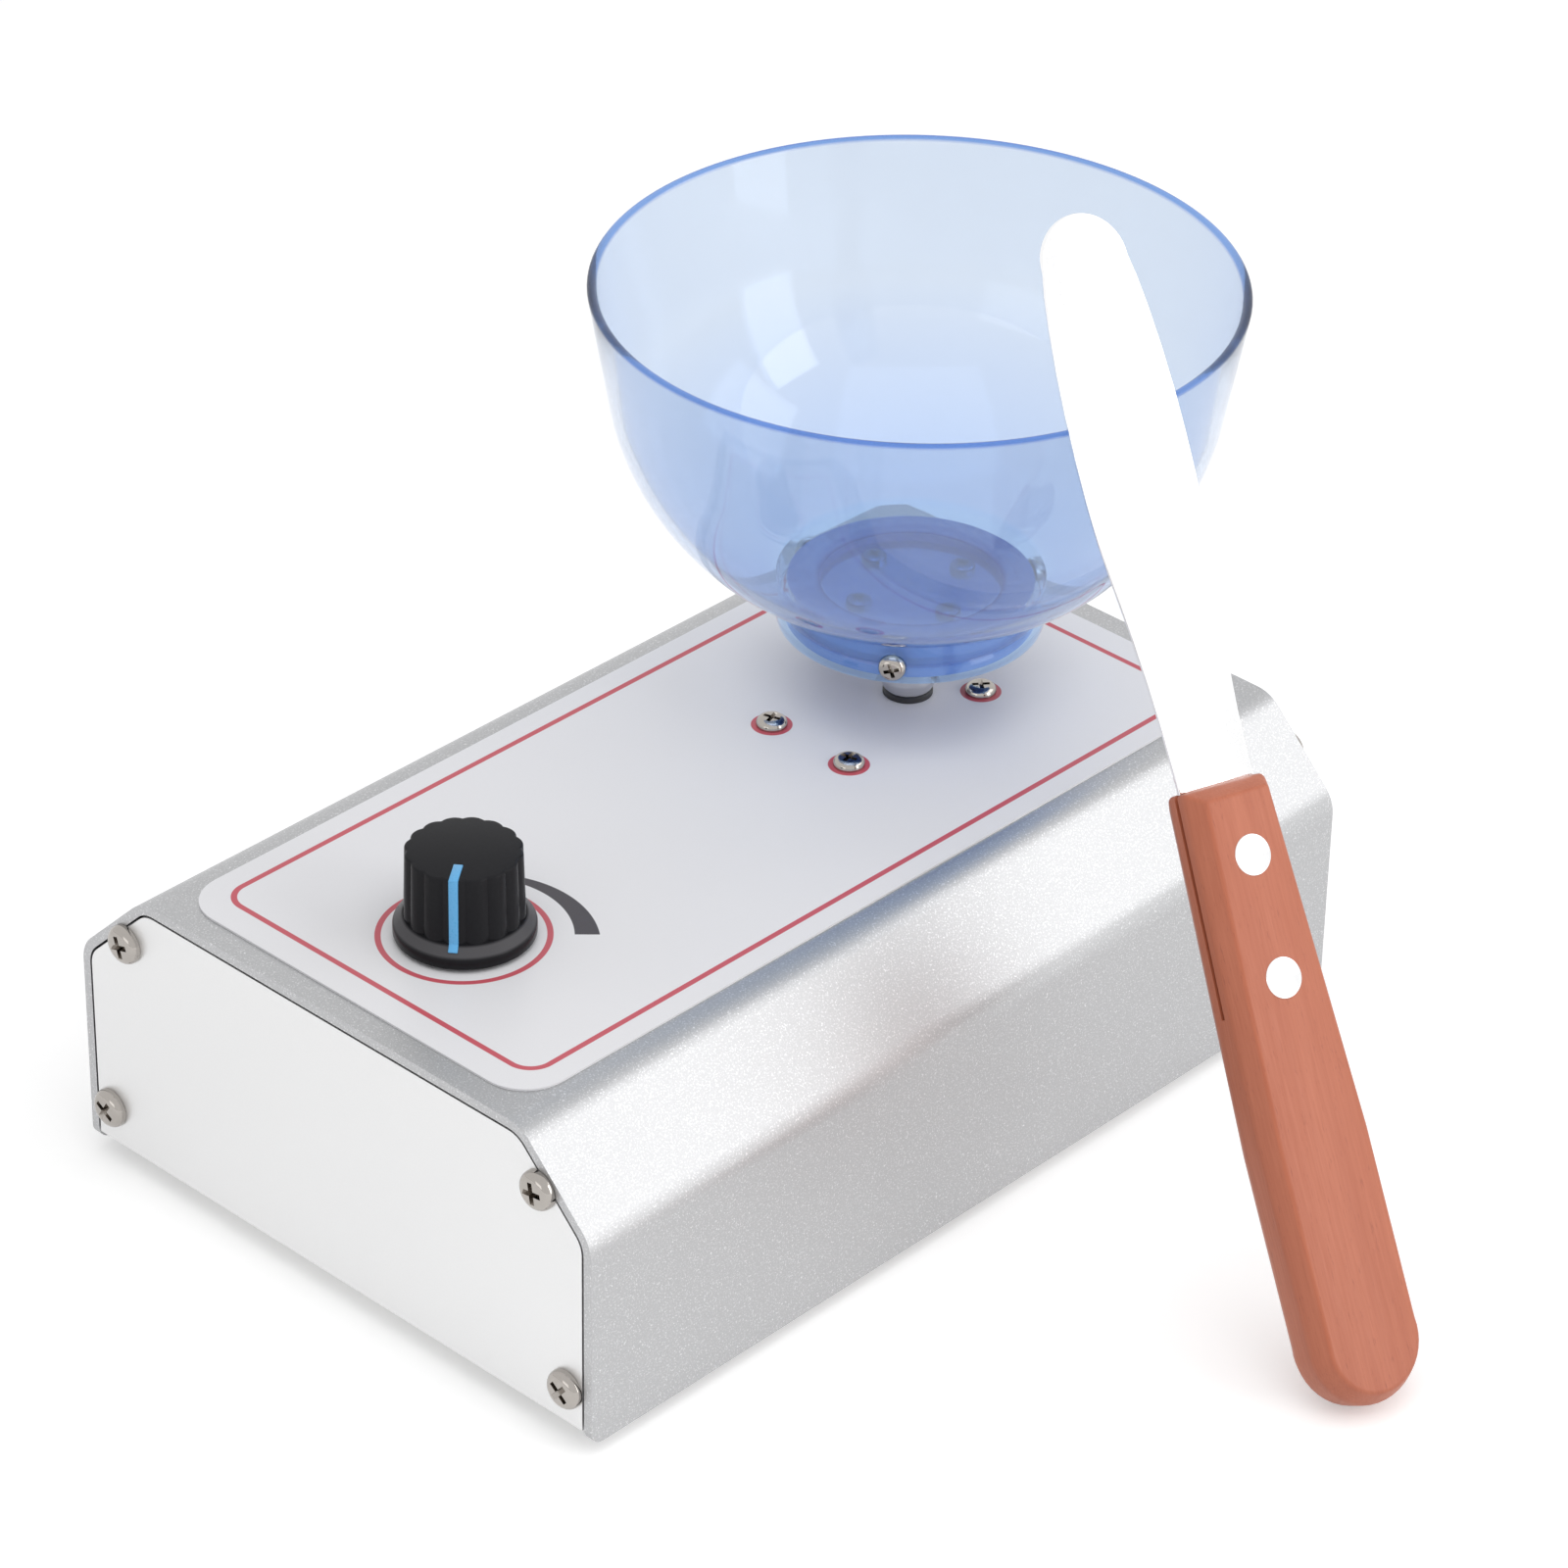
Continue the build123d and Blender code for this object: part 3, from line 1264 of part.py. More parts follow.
with BuildPart() as terminal_block:
    with BuildSketch(Plane.XY.offset(board_top)):
        with Locations((block_x, block_y)):
            Rectangle(block_width, block_depth)
    extrude(amount=block_height)
    chamfer(terminal_block.edges().filter_by(Axis.X).group_by(Axis.Z)[-1], length=2.0)
    way_pitch = block_width / block_ways
    with BuildSketch(Plane.XY.offset(board_top + block_height)):
        with Locations((block_x, block_y)):
            with GridLocations(way_pitch, 0, block_ways, 1):
                Circle(1.5)
    extrude(amount=-4.0, mode=Mode.SUBTRACT)
    with BuildSketch(end_plane(block_y - block_depth / 2, block_x, board_top)):
        with Locations((0, 3.4)):
            with GridLocations(way_pitch, 0, block_ways, 1):
                Rectangle(3.0, 3.6)
    extrude(amount=-5.0, mode=Mode.SUBTRACT)
terminal_block.part.label = "terminal_block"
export_step(terminal_block.part, "parts/terminal_block.step")

# ==== transformer =========================================================================
core_plane = Plane(
    origin=(transformer_x, transformer_y, base_top), x_dir=(0, 1, 0), z_dir=(1, 0, 0)
)
window_length = (core_length - 4 * core_leg) / 2
window_height = core_height - 2 * core_leg
with BuildPart() as transformer_core:
    with BuildSketch(core_plane):
        with Locations((0, core_height / 2)):
            Rectangle(core_length, core_height)
            with GridLocations(2 * core_leg + window_length, 0, 2, 1):
                Rectangle(window_length, window_height, mode=Mode.SUBTRACT)
    extrude(amount=core_stack / 2, both=True)
transformer_core.part.label = "transformer_core"
export_step(transformer_core.part, "parts/transformer_core.step")

coil_bulge = 5.6
with BuildPart() as transformer_coil:
    with BuildSketch(core_plane):
        with Locations((0, core_height / 2)):
            Rectangle(
                2 * core_leg + 2 * window_length - 2 * near_gap, window_height - 2 * near_gap
            )
    extrude(amount=core_stack / 2 + coil_bulge, both=True)
    fillet(transformer_coil.edges().filter_by(Axis.Z), radius=4.0)
    with BuildSketch(core_plane):
        with Locations((0, core_height / 2)):
            Rectangle(2 * core_leg + 2 * near_gap, window_height)
    extrude(amount=core_stack / 2 + near_gap, both=True, mode=Mode.SUBTRACT)
transformer_coil.part.label = "transformer_coil"
export_step(transformer_coil.part, "parts/transformer_coil.step")

with BuildPart() as transformer_bracket:
    with BuildSketch(core_plane):
        outer_half = core_length / 2 + bracket_sheet
        with Locations((0, (core_height + bracket_sheet) / 2)):
            Rectangle(2 * outer_half, core_height + bracket_sheet)
        with Locations((0, bracket_sheet / 2)):
            Rectangle(2 * (outer_half + bracket_foot), bracket_sheet)
        with Locations((0, core_height / 2)):
            Rectangle(core_length, core_height, mode=Mode.SUBTRACT)
    extrude(amount=core_stack / 2 - 1.0, both=True)
    with BuildSketch(Plane.XY.offset(base_top)):
        with Locations(*bracket_screw_points):
            Circle(bracket_screw_diameter / 2 + hole_play)
    extrude(amount=bracket_sheet, mode=Mode.SUBTRACT)
transformer_bracket.part.label = "transformer_bracket"
export_step(transformer_bracket.part, "parts/transformer_bracket.step")

bracket_screw_head = 7.6
bracket_screw_head_height = 2.6
bracket_screw = pan_screw(
    bracket_screw_head,
    bracket_screw_head_height,
    bracket_screw_diameter,
    bracket_sheet + base_thickness,
)
with BuildPart() as transformer_screws:
    with Locations(*[(x, y, base_top + bracket_sheet) for x, y in bracket_screw_points]):
        add(bracket_screw)
transformer_screws.part.label = "transformer_screws"
export_step(transformer_screws.part, "parts/transformer_screws.step")

# ==== rear fittings =======================================================================
inlet_plane = rear_plane(inlet_x, plate_face, rear_fitting_z)
inlet_recess_width = 24.4
inlet_recess_height = 16.6
inlet_recess_depth = 15.5
inlet_recess_chamfer = 4.4
pin_width = 2.0
pin_height = 4.0
pin_points = ((-7.0, -2.0), (7.0, -2.0), (0.0, 2.0))
pin_tail = 7.0
pin_tip_depth = 2.5
with BuildPart() as power_inlet:
    with BuildSketch(inlet_plane):
        RectangleRounded(inlet_flange_width, inlet_flange_height, 5.0)
    extrude(amount=inlet_flange_thickness)
    with BuildSketch(inlet_plane):
        Rectangle(inlet_body_width, inlet_body_height)
    extrude(amount=-inlet_body_depth)
    with BuildSketch(inlet_plane.offset(inlet_flange_thickness)) as recess_sketch:
        Rectangle(inlet_recess_width, inlet_recess_height)
        chamfer(
            recess_sketch.vertices().group_by(Axis.Y)[-1], length=inlet_recess_chamfer
        )
    extrude(amount=-inlet_recess_depth, mode=Mode.SUBTRACT)
    with BuildSketch(inlet_plane.offset(inlet_flange_thickness)):
        with GridLocations(inlet_screw_spacing, 0, 2, 1):
            Circle(inlet_screw_diameter / 2 + hole_play)
    extrude(amount=-inlet_flange_thickness, mode=Mode.SUBTRACT)
    with BuildSketch(inlet_plane.offset(-inlet_body_depth)):
        with Locations(*pin_points):
            Rectangle(pin_width, pin_height)
    extrude(amount=inlet_body_depth, mode=Mode.SUBTRACT)
power_inlet.part.label = "power_inlet"
export_step(power_inlet.part, "parts/power_inlet.step")

with BuildPart() as inlet_pins:
    with BuildSketch(inlet_plane.offset(-inlet_body_depth - pin_tail)):
        with Locations(*pin_points):
            Rectangle(pin_width, pin_height)
    extrude(amount=inlet_body_depth + pin_tail + inlet_flange_thickness - pin_tip_depth)
inlet_pins.part.label = "inlet_pins"
export_step(inlet_pins.part, "parts/inlet_pins.step")

inlet_screw_head = 5.6
inlet_screw_head_height = 2.0
inlet_screw_reach = 4.5  # beyond the inlet's flange
inlet_screw = pan_screw(
    inlet_screw_head,
    inlet_screw_head_height,
    inlet_screw_diameter,
    inlet_flange_thickness + inlet_screw_reach,
)
with BuildPart() as inlet_screws:
    with Locations(
        *[
            Location(
                rear_plane(
                    inlet_x + s * inlet_screw_spacing / 2,
                    plate_face + inlet_flange_thickness,
                    rear_fitting_z,
                )
            )
            for s in (-1, 1)
        ]
    ):
        add(inlet_screw)
inlet_screws.part.label = "inlet_screws"
export_step(inlet_screws.part, "parts/inlet_screws.step")

switch_plane = rear_plane(switch_x, plate_face, rear_fitting_z)
rocker_width = 10.4
rocker_half = 8.2
rocker_tilt = 10.0
rocker_crest = 2.6
rocker_valley = 1.1
rocker_depth = 3.4
pivot_depth = 1.4
pivot_radius = 1.2
switch_well_depth = 8.0
switch_well_half = rocker_half + 0.7
terminal_length = 8.0
with BuildPart() as switch_housing:
    with BuildSketch(switch_plane):
        RectangleRounded(switch_bezel_width, switch_bezel_height, 1.2)
    extrude(amount=switch_bezel_thickness)
    with BuildSketch(switch_plane):
        Rectangle(switch_body_width, switch_body_height)
    extrude(amount=-switch_body_depth)
    with BuildSketch(switch_plane.offset(switch_bezel_thickness)):
        Rectangle(rocker_width + 2 * near_gap, 2 * switch_well_half)
    extrude(amount=-switch_well_depth, mode=Mode.SUBTRACT)
    with BuildSketch(Plane(origin=(switch_x, plate_face - pivot_depth, rear_fitting_z),
                           x_dir=(0, 1, 0), z_dir=(1, 0, 0))):
        Circle(pivot_radius + running_fit)
    extrude(amount=switch_body_width / 2 - 0.3, both=True, mode=Mode.SUBTRACT)
    with BuildSketch(switch_plane.offset(-switch_body_depth)):
        with GridLocations(0, 10.0, 1, 2):
            Rectangle(4.8, 0.8)
    extrude(amount=-terminal_length)
switch_housing.part.label = "switch_housing"
export_step(switch_housing.part, "parts/switch_housing.step")

tilt = radians(rocker_tilt)
rocker_plane = Plane(
    origin=(switch_x, plate_face - pivot_depth, rear_fitting_z),
    x_dir=(0, sin(tilt), cos(tilt)),
    z_dir=(-1, 0, 0),
)
with BuildPart() as switch_rocker:
    crest = rocker_crest + pivot_depth
    valley = rocker_valley + pivot_depth
    with BuildSketch(rocker_plane) as rocker_sketch:
        with BuildLine():
            Polyline(
                (-rocker_half, crest), (0, valley), (rocker_half, crest),
                (0.86 * rocker_half, -0.4 * rocker_depth), (0.3 * rocker_half, -rocker_depth),
                (-0.3 * rocker_half, -rocker_depth), (-0.86 * rocker_half, -0.4 * rocker_depth),
                close=True,
            )
        make_face()
    extrude(amount=rocker_width / 2, both=True)
    with BuildSketch(rocker_plane):
        Circle(pivot_radius)
    extrude(amount=switch_body_width / 2 - 0.5, both=True)
switch_rocker.part.label = "switch_rocker"
export_step(switch_rocker.part, "parts/switch_rocker.step")

fuse_plane = rear_plane(fuse_x, plate_face, rear_fitting_z)
fuse_bore = 3.4
cap_radius = 6.6
cap_height = 7.0
with BuildPart() as fuse_holder:
    with BuildSketch(fuse_plane):
        Circle(fuse_flange_radius)
    extrude(amount=fuse_flange_thickness)
    with BuildSketch(fuse_plane):
        Circle(fuse_body_radius)
    extrude(amount=-fuse_body_depth)
    with BuildSketch(fuse_plane.offset(fuse_flange_thickness)):
        Circle(fuse_bore)
    extrude(amount=-fuse_body_depth, mode=Mode.SUBTRACT)
fuse_holder.part.label = "fuse_holder"
export_step(fuse_holder.part, "parts/fuse_holder.step")

fuse_length = 20.0
fuse_radius = 2.6
cap_stem = 6.0
with BuildPart() as fuse_cap:
    with BuildSketch(fuse_plane.offset(fuse_flange_thickness)):
        Circle(cap_radius)
    extrude(amount=cap_height)
    chamfer(fuse_cap.edges().group_by(Axis.Y)[-1], length=0.8)
    with BuildSketch(fuse_plane.offset(fuse_flange_thickness)):
        Circle(fuse_bore - 2 * seat_fit)
    extrude(amount=-cap_stem)
    with BuildSketch(fuse_plane.offset(fuse_flange_thickness + cap_height)):
        Rectangle(8.0, 1.4)
    extrude(amount=-1.6, mode=Mode.SUBTRACT)
fuse_cap.part.label = "fuse_cap"
export_step(fuse_cap.part, "parts/fuse_cap.step")

with BuildPart() as fuse:
    with BuildSketch(fuse_plane.offset(fuse_flange_thickness - cap_stem)):
        Circle(fuse_radius)
    extrude(amount=-fuse_length)
fuse.part.label = "fuse"
export_step(fuse.part, "parts/fuse.step")

# ==== spatula =============================================================================
# The blade's flat back lies against the rounded rim; the butt of the handle is on the bench.
rim_round = bowl_wall / 2
rest_gap = near_gap
bench_gap = 0.1
out_axis = (
    cos(spatula_lean) * cos(spatula_bearing),
    cos(spatula_lean) * sin(spatula_bearing),
    sin(spatula_lean),
)
up_axis = (
    -sin(spatula_lean) * cos(spatula_bearing),
    -sin(spatula_lean) * sin(spatula_bearing),
    cos(spatula_lean),
)
level_axis = (-sin(spatula_bearing), cos(spatula_bearing), 0)
side_axis = tuple(
    cos(spatula_twist) * level - sin(spatula_twist) * up
    for level, up in zip(level_axis, up_axis)
)
rim_point = (
    (rim_radius - rim_round) * cos(spatula_bearing),
    shaft_y + (rim_radius - rim_round) * sin(spatula_bearing),
    rim_top - rim_round,
)
blade_middle = rim_round + rest_gap + blade_thickness / 2
spatula_origin = tuple(p + blade_middle * o for p, o in zip(rim_point, out_axis))
spatula_plane = Plane(origin=spatula_origin, x_dir=side_axis, z_dir=out_axis)
# Distance down the spatula from the rim to the end of its handle, which rests on the bench.
down_slope = cos(spatula_lean) * cos(spatula_twist)
back_edge_height = spatula_origin[2] - handle_thickness / 2 * sin(spatula_lean) - bench_gap
contact_to_butt = back_edge_height / down_slope + handle_bevel_width
butt = -contact_to_butt
handle_end = butt + handle_length
blade_end = butt + spatula_length
blade_root = blade_half_widths[0][1]
rivet_points = [(0, handle_end - distance) for distance in rivet_distances]

with BuildPart() as spatula_blade:
    with BuildSketch(spatula_plane.offset(-blade_thickness / 2)) as blade_sketch:
        with BuildLine():
            tip_y = blade_end - blade_tip_radius
            right = Spline(
                *[(half, handle_end + y) for y, half in blade_half_widths],
                (blade_tip_radius, tip_y),
                tangents=((0.01, 1), (-0.2, 1)),
            )
            ThreePointArc((blade_tip_radius, tip_y), (0, blade_end), (-blade_tip_radius, tip_y))
            mirror(right, about=Plane.YZ)
            Polyline(
                (blade_root, handle_end),
                (tang_width / 2, handle_end),
                (tang_width / 2, handle_end - tang_length),
                (-tang_width / 2, handle_end - tang_length),
                (-tang_width / 2, handle_end),
                (-blade_root, handle_end),
            )
        make_face()
        with Locations(*rivet_points):
            Circle(rivet_diameter / 2 + seat_fit, mode=Mode.SUBTRACT)
    extrude(amount=blade_thickness)
spatula_blade.part.label = "spatula_blade"
export_step(spatula_blade.part, "parts/spatula_blade.step")

with BuildSketch() as handle_outline:
    with BuildLine():
        shoulder_y = handle_end - handle_taper_length
        corner_y = butt + handle_round_length
        Polyline(
            (handle_butt_width / 2, corner_y),
            (handle_butt_width / 2, shoulder_y),
            (handle_top_width / 2, handle_end),
            (-handle_top_width / 2, handle_end),
            (-handle_butt_width / 2, shoulder_y),
            (-handle_butt_width / 2, corner_y),
        )
        ThreePointArc(
            (handle_butt_width / 2, corner_y), (0, butt), (-handle_butt_width / 2, corner_y)
        )
    make_face()
handle_core = handle_thickness / 2 - handle_bevel_depth
handle_bevel = degrees(atan2(handle_bevel_width, handle_bevel_depth))

with BuildPart() as spatula_handle:
    with BuildSketch(spatula_plane):
        add(handle_outline.sketch)
    extrude(amount=handle_core, both=True)
    with BuildSketch(spatula_plane.offset(handle_core)):
        add(handle_outline.sketch)
    extrude(amount=handle_bevel_depth, taper=handle_bevel)
    with BuildSketch(spatula_plane.offset(-handle_core)):
        add(handle_outline.sketch)
    extrude(amount=-handle_bevel_depth, taper=handle_bevel)
    with BuildSketch(spatula_plane.offset(-blade_thickness / 2)):
        with Locations((0, handle_end - tang_length / 2)):
            Rectangle(handle_butt_width + 2, tang_length)
    extrude(amount=blade_thickness, mode=Mode.SUBTRACT)
    with BuildSketch(spatula_plane.offset(-handle_thickness / 2)):
        with Locations(*rivet_points):
            Circle(rivet_diameter / 2 + seat_fit)
    extrude(amount=handle_thickness, mode=Mode.SUBTRACT)
spatula_handle.part.label = "spatula_handle"
export_step(spatula_handle.part, "parts/spatula_handle.step")

with BuildPart() as spatula_rivets:
    with BuildSketch(spatula_plane.offset(-handle_thickness / 2 - rivet_proud)):
        with Locations(*rivet_points):
            Circle(rivet_diameter / 2)
    extrude(amount=handle_thickness + 2 * rivet_proud)
    chamfer(spatula_rivets.edges().filter_by(GeomType.CIRCLE), length=0.4)
spatula_rivets.part.label = "spatula_rivets"
export_step(spatula_rivets.part, "parts/spatula_rivets.step")
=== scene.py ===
# %% [markdown]
# # A bench mixer for dental impression material
#
# A clear blue bowl spins on a shaft above a low aluminium housing. A speed knob sits in front
# of it, and a spatula with a red wooden handle leans on the bowl's rim. The solids come packed
# from the part's own source, and this lesson dresses them: some keep their shape and get a
# finish, and others are modelled again with finer edges. Lengths are written in millimetres
# and are turned into Blender's metres when a piece is finished.

from math import acos, atan2, cos, pi, radians, sin, sqrt, tan

import bmesh
import bpy
from mathutils import Matrix, Vector


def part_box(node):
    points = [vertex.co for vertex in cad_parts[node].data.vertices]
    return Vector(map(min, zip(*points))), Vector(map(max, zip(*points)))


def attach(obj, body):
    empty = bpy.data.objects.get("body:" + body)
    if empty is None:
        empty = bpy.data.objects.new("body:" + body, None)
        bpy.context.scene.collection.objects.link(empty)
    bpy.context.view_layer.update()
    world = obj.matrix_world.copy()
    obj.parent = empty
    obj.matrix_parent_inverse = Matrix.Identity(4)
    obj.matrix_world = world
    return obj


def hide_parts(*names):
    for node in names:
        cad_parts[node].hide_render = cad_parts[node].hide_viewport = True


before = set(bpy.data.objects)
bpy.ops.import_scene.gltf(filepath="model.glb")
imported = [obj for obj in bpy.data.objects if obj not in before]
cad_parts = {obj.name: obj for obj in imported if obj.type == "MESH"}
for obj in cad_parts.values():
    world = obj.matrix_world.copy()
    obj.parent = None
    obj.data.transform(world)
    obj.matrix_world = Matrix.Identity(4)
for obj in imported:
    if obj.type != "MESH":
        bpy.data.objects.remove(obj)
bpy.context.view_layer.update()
mm = 0.001
print("nodes:", len(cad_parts))


def node_box(node):
    """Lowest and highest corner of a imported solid, in millimetres."""
    low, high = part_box(node)
    return low / mm, high / mm


def add_object(name, data):
    """A new object in the scene."""
    thing = bpy.data.objects.new(name, data)
    bpy.context.scene.collection.objects.link(thing)
    return thing


def placement(origin, x, y, z):
    """A matrix that moves zero to origin and turns the own axes to x, y and z."""
    return Matrix.Translation(origin) @ Matrix((x, y, z)).transposed().to_4x4()


# %% [markdown]
# The camera comes first, because every look at a piece goes through it. The real view is
# taken from above the right front corner with a long lens, so lines that run away from the
# viewer hardly converge. It could be placed by hand, but a camera that is built from its
# compass angle, its height angle and a small roll can be read and corrected one number at a
# time. The object and the frame are square on, so no shift is needed.

# %% Camera
view_azimuth = radians(43.085)
view_elevation = radians(32.519)
view_roll = radians(0.984)
view_target = Vector((1.766, 15.99, 63.002))
view_distance = 1230.4
focal_pixels, image_side, sensor = 6321.7, 1600, 36

back = Vector((
    sin(view_azimuth) * cos(view_elevation),
    -cos(view_azimuth) * cos(view_elevation),
    sin(view_elevation),
))
level_right = Vector((0, 0, 1)).cross(back).normalized()
level_up = back.cross(level_right)
camera_right = cos(view_roll) * level_right + sin(view_roll) * level_up
camera_up = -sin(view_roll) * level_right + cos(view_roll) * level_up

camera_data = bpy.data.cameras.new("camera")
camera_data.sensor_width = sensor
camera_data.lens = focal_pixels / image_side * sensor
camera_data.clip_start, camera_data.clip_end = 0.05, 50
camera = add_object("camera", camera_data)
camera.matrix_world = placement((view_target + back * view_distance) * mm,
                                camera_right, camera_up, back)
bpy.context.scene.camera = camera
print("lens:", round(camera_data.lens, 1), "mm")

# %% [markdown]
# Every finish below is a node tree that is worked out from the piece's own coordinates. It
# could be wired link by link, but sums are hard to read that way. A Value is a socket that can
# be calculated with: each plus, minus, times or division sign on it adds one Math node.

# %% Helpers for node trees: values
class Value:
    """A socket that can be calculated with; each sign adds one Math node to its tree."""

    def __init__(self, socket):
        self.socket, self.tree = socket, socket.id_data

    def __add__(self, other):
        return calc("ADD", self, other)

    def __sub__(self, other):
        return calc("SUBTRACT", self, other)

    def __rsub__(self, other):
        return calc("SUBTRACT", other, self)

    def __mul__(self, other):
        return calc("MULTIPLY", self, other)

    def __truediv__(self, other):
        return calc("DIVIDE", self, other)

    def __rtruediv__(self, other):
        return calc("DIVIDE", other, self)

    def __abs__(self):
        return calc("ABSOLUTE", self)

    def clamped(self):
        """The same value, kept between 0 and 1."""
        self.socket.node.use_clamp = True
        return self


def put(socket, value):
    """Links a value into a socket, or sets the socket to a number, a vector or a colour."""
    if isinstance(value, Value):
        value.tree.links.new(value.socket, socket)
    else:
        socket.default_value = (*value, 1) if socket.type == "RGBA" else value


def add_node(tree, kind, settings=None, **inputs):
    """A new shader node with its settings and its inputs."""
    node = tree.nodes.new("ShaderNode" + kind)
    for name, value in (settings or {}).items():
        setattr(node, name, value)
    for name, value in inputs.items():
        put(node.inputs[name.replace("_", " ")], value)
    return node


def output_of(tree, kind, output, settings=None, **inputs):
    """One output of a new node, as a value."""
    return Value(add_node(tree, kind, settings, **inputs).outputs[output])


def calc(operation, *values, kind="Math", output=0):
    """The result of one Math or VectorMath node on numbers and values."""
    tree = next(value.tree for value in values if isinstance(value, Value))
    node = add_node(tree, kind, {"operation": operation})
    for socket, value in zip(node.inputs, values):
        put(socket, value)
    return Value(node.outputs[output])


# %% [markdown]
# With values in hand, the next helpers are short. They blend two colours, make noise of a
# given size, tell one kind of ray from another, and link what a finish needs into its shader.
# Object coordinates are scaled to millimetres first, so a grain of 0.3 mm is written as 0.3.

# %% Helpers for node trees: finishes
def length(a, b):
    """The length of a step of a along x and b along y."""
    return calc("SQRT", a * a + b * b)


def blend(amount, first, second):
    """A colour between first and second."""
    node = add_node(amount.tree, "Mix", {"data_type": "RGBA"})
    for index, value in ((0, amount), (6, first), (7, second)):
        put(node.inputs[index], value)
    return Value(node.outputs[2])


def noise(where, size, detail, roughness=0.5):
    """Noise with lumps of about size millimetres."""
    return output_of(where.tree, "TexNoise", "Fac", Vector=where, Scale=1 / size, Detail=detail,
                     Roughness=roughness)


def along_axis(where, axis):
    """One coordinate of a place."""
    return output_of(where.tree, "SeparateXYZ", axis, Vector=where)


def millimetres(tree):
    """Object coordinates in millimetres."""
    where = output_of(tree, "TexCoord", "Object")
    return output_of(tree, "VectorMath", "Vector", {"operation": "SCALE"}, Vector=where,
                     Scale=1 / mm)


def ray_is(tree, *kinds):
    """1 for rays of any of these kinds, and 0 for the others."""
    path = add_node(tree, "LightPath")
    first, *others = (Value(path.outputs[f"Is {kind} Ray"]) for kind in kinds)
    for other in others:
        first = calc("MAXIMUM", first, other)
    return first


finishes = {}


def new_finish(name, **shader_inputs):
    """A material with a Principled shader; returns the shader and coordinates for it."""
    finishes[name] = material = bpy.data.materials.new(name)
    material.use_nodes = True
    shader = material.node_tree.nodes["Principled BSDF"]
    for label, value in shader_inputs.items():
        put(shader.inputs[label.replace("_", " ")], value)
    return shader, millimetres(material.node_tree)


def dress(shader, colour, rough, height, bump, depth=0.0001):
    """Gives a shader its colour, its roughness and a bump that is depth metres deep."""
    relief = output_of(shader.id_data, "Bump", "Normal", Height=height, Strength=bump,
                       Distance=depth)
    for label, value in (("Base Color", colour), ("Roughness", rough), ("Normal", relief)):
        put(shader.inputs[label], value)


def join_shaders(kind, first, second, **inputs):
    """Mixes or adds two shaders and makes the result the surface."""
    tree = first.id_data
    both = add_node(tree, kind, **inputs)
    tree.links.new(first.outputs[0], both.inputs[-2])
    tree.links.new(second.outputs[0], both.inputs[-1])
    tree.links.new(both.outputs[0], tree.nodes["Material Output"].inputs["Surface"])


# %% [markdown]
# Three effects come back in many finishes, so each is a node group with named inputs. Grain
# is a fine speckle for blasted, cast and moulded surfaces. Brushed lines are the same noise
# drawn out along one axis, for turned and ground metal. Soft variation is a slow change over
# centimetres, which keeps a large face from looking printed in one flat colour.

# %% Shared groups: grain, brushed lines, soft variation
def new_group(name, **inputs):
    """An empty shader group; returns its tree and a value for each of its inputs."""
    tree = bpy.data.node_groups.new(name, "ShaderNodeTree")
    kinds = {"Vector": "Vector", "Along": "Vector", "Color": "Color"}
    for label, value in inputs.items():
        socket = tree.interface.new_socket(
            label, in_out="INPUT", socket_type="NodeSocket" + kinds.get(label, "Float"))
        if value is not None:
            socket.default_value = value
    entry = tree.nodes.new("NodeGroupInput")
    return tree, *(Value(entry.outputs[label]) for label in inputs)


def close_group(tree, **results):
    """Gives a group its outputs."""
    for label in results:
        kind = "Color" if label == "Color" else "Float"
        tree.interface.new_socket(label, in_out="OUTPUT", socket_type="NodeSocket" + kind)
    leave = tree.nodes.new("NodeGroupOutput")
    for label, value in results.items():
        put(leave.inputs[label], value)


def use_group(group, **inputs):
    """Places a group where its inputs are; returns its outputs by name."""
    tree = next(value.tree for value in inputs.values() if isinstance(value, Value))
    node = add_node(tree, "Group", {"node_tree": group}, **inputs)
    return {socket.name: Value(socket) for socket in node.outputs}


grain_group, where, size, strength = new_group("fine_grain", Vector=None, Size=0.3, Strength=0.5)
pits = output_of(grain_group, "TexVoronoi", "Distance", Vector=where, Scale=1 / size)
mixed = noise(where, size, 3.0, 0.65) * 0.75 + pits * 0.25
speckle = (mixed - 0.5) * strength * 2.0 + 0.5
close_group(grain_group, Speckle=speckle.clamped(), Height=mixed)

brushed_group, where, along, size = new_group("brushed_lines", Vector=None,
                                              Along=(0.02, 1.0, 1.0), Size=0.25)
stretched = calc("MULTIPLY", where, along, kind="VectorMath")
close_group(brushed_group, Lines=noise(stretched, size, 2.0, 0.6))

variation_group, where, size, colour, amount = new_group(
    "soft_variation", Vector=None, Size=25.0, Color=(0.8, 0.8, 0.8, 1), Amount=0.08)
darker = noise(where, size, 3.0) * amount
close_group(variation_group, Color=blend(darker, colour, (0.0, 0.0, 0.0)))


def grain(where, size, strength):
    """The speckle of the grain and its height."""
    fine = use_group(grain_group, Vector=where, Size=size, Strength=strength)
    return fine["Speckle"], fine["Height"]


def brushed(where, along, size):
    """Lines that are drawn out where along is small."""
    return use_group(brushed_group, Vector=where, Along=along, Size=size)["Lines"]


def varied(where, size, colour, amount):
    """A colour that changes slowly."""
    return use_group(variation_group, Vector=where, Size=size, Color=colour,
                     Amount=amount)["Color"]


print("groups:", [g.name for g in bpy.data.node_groups])


# %% [markdown]
# Most finishes here follow one of two plans. A grained finish is a colour with slow variation
# and a fine speckle that also moves the roughness and the bump. A brushed finish is bare metal
# with fine lines along one axis. Both plans are functions, and each real finish calls one with
# its own numbers, so that two plastics differ in colour, gloss and grain and not in wiring.

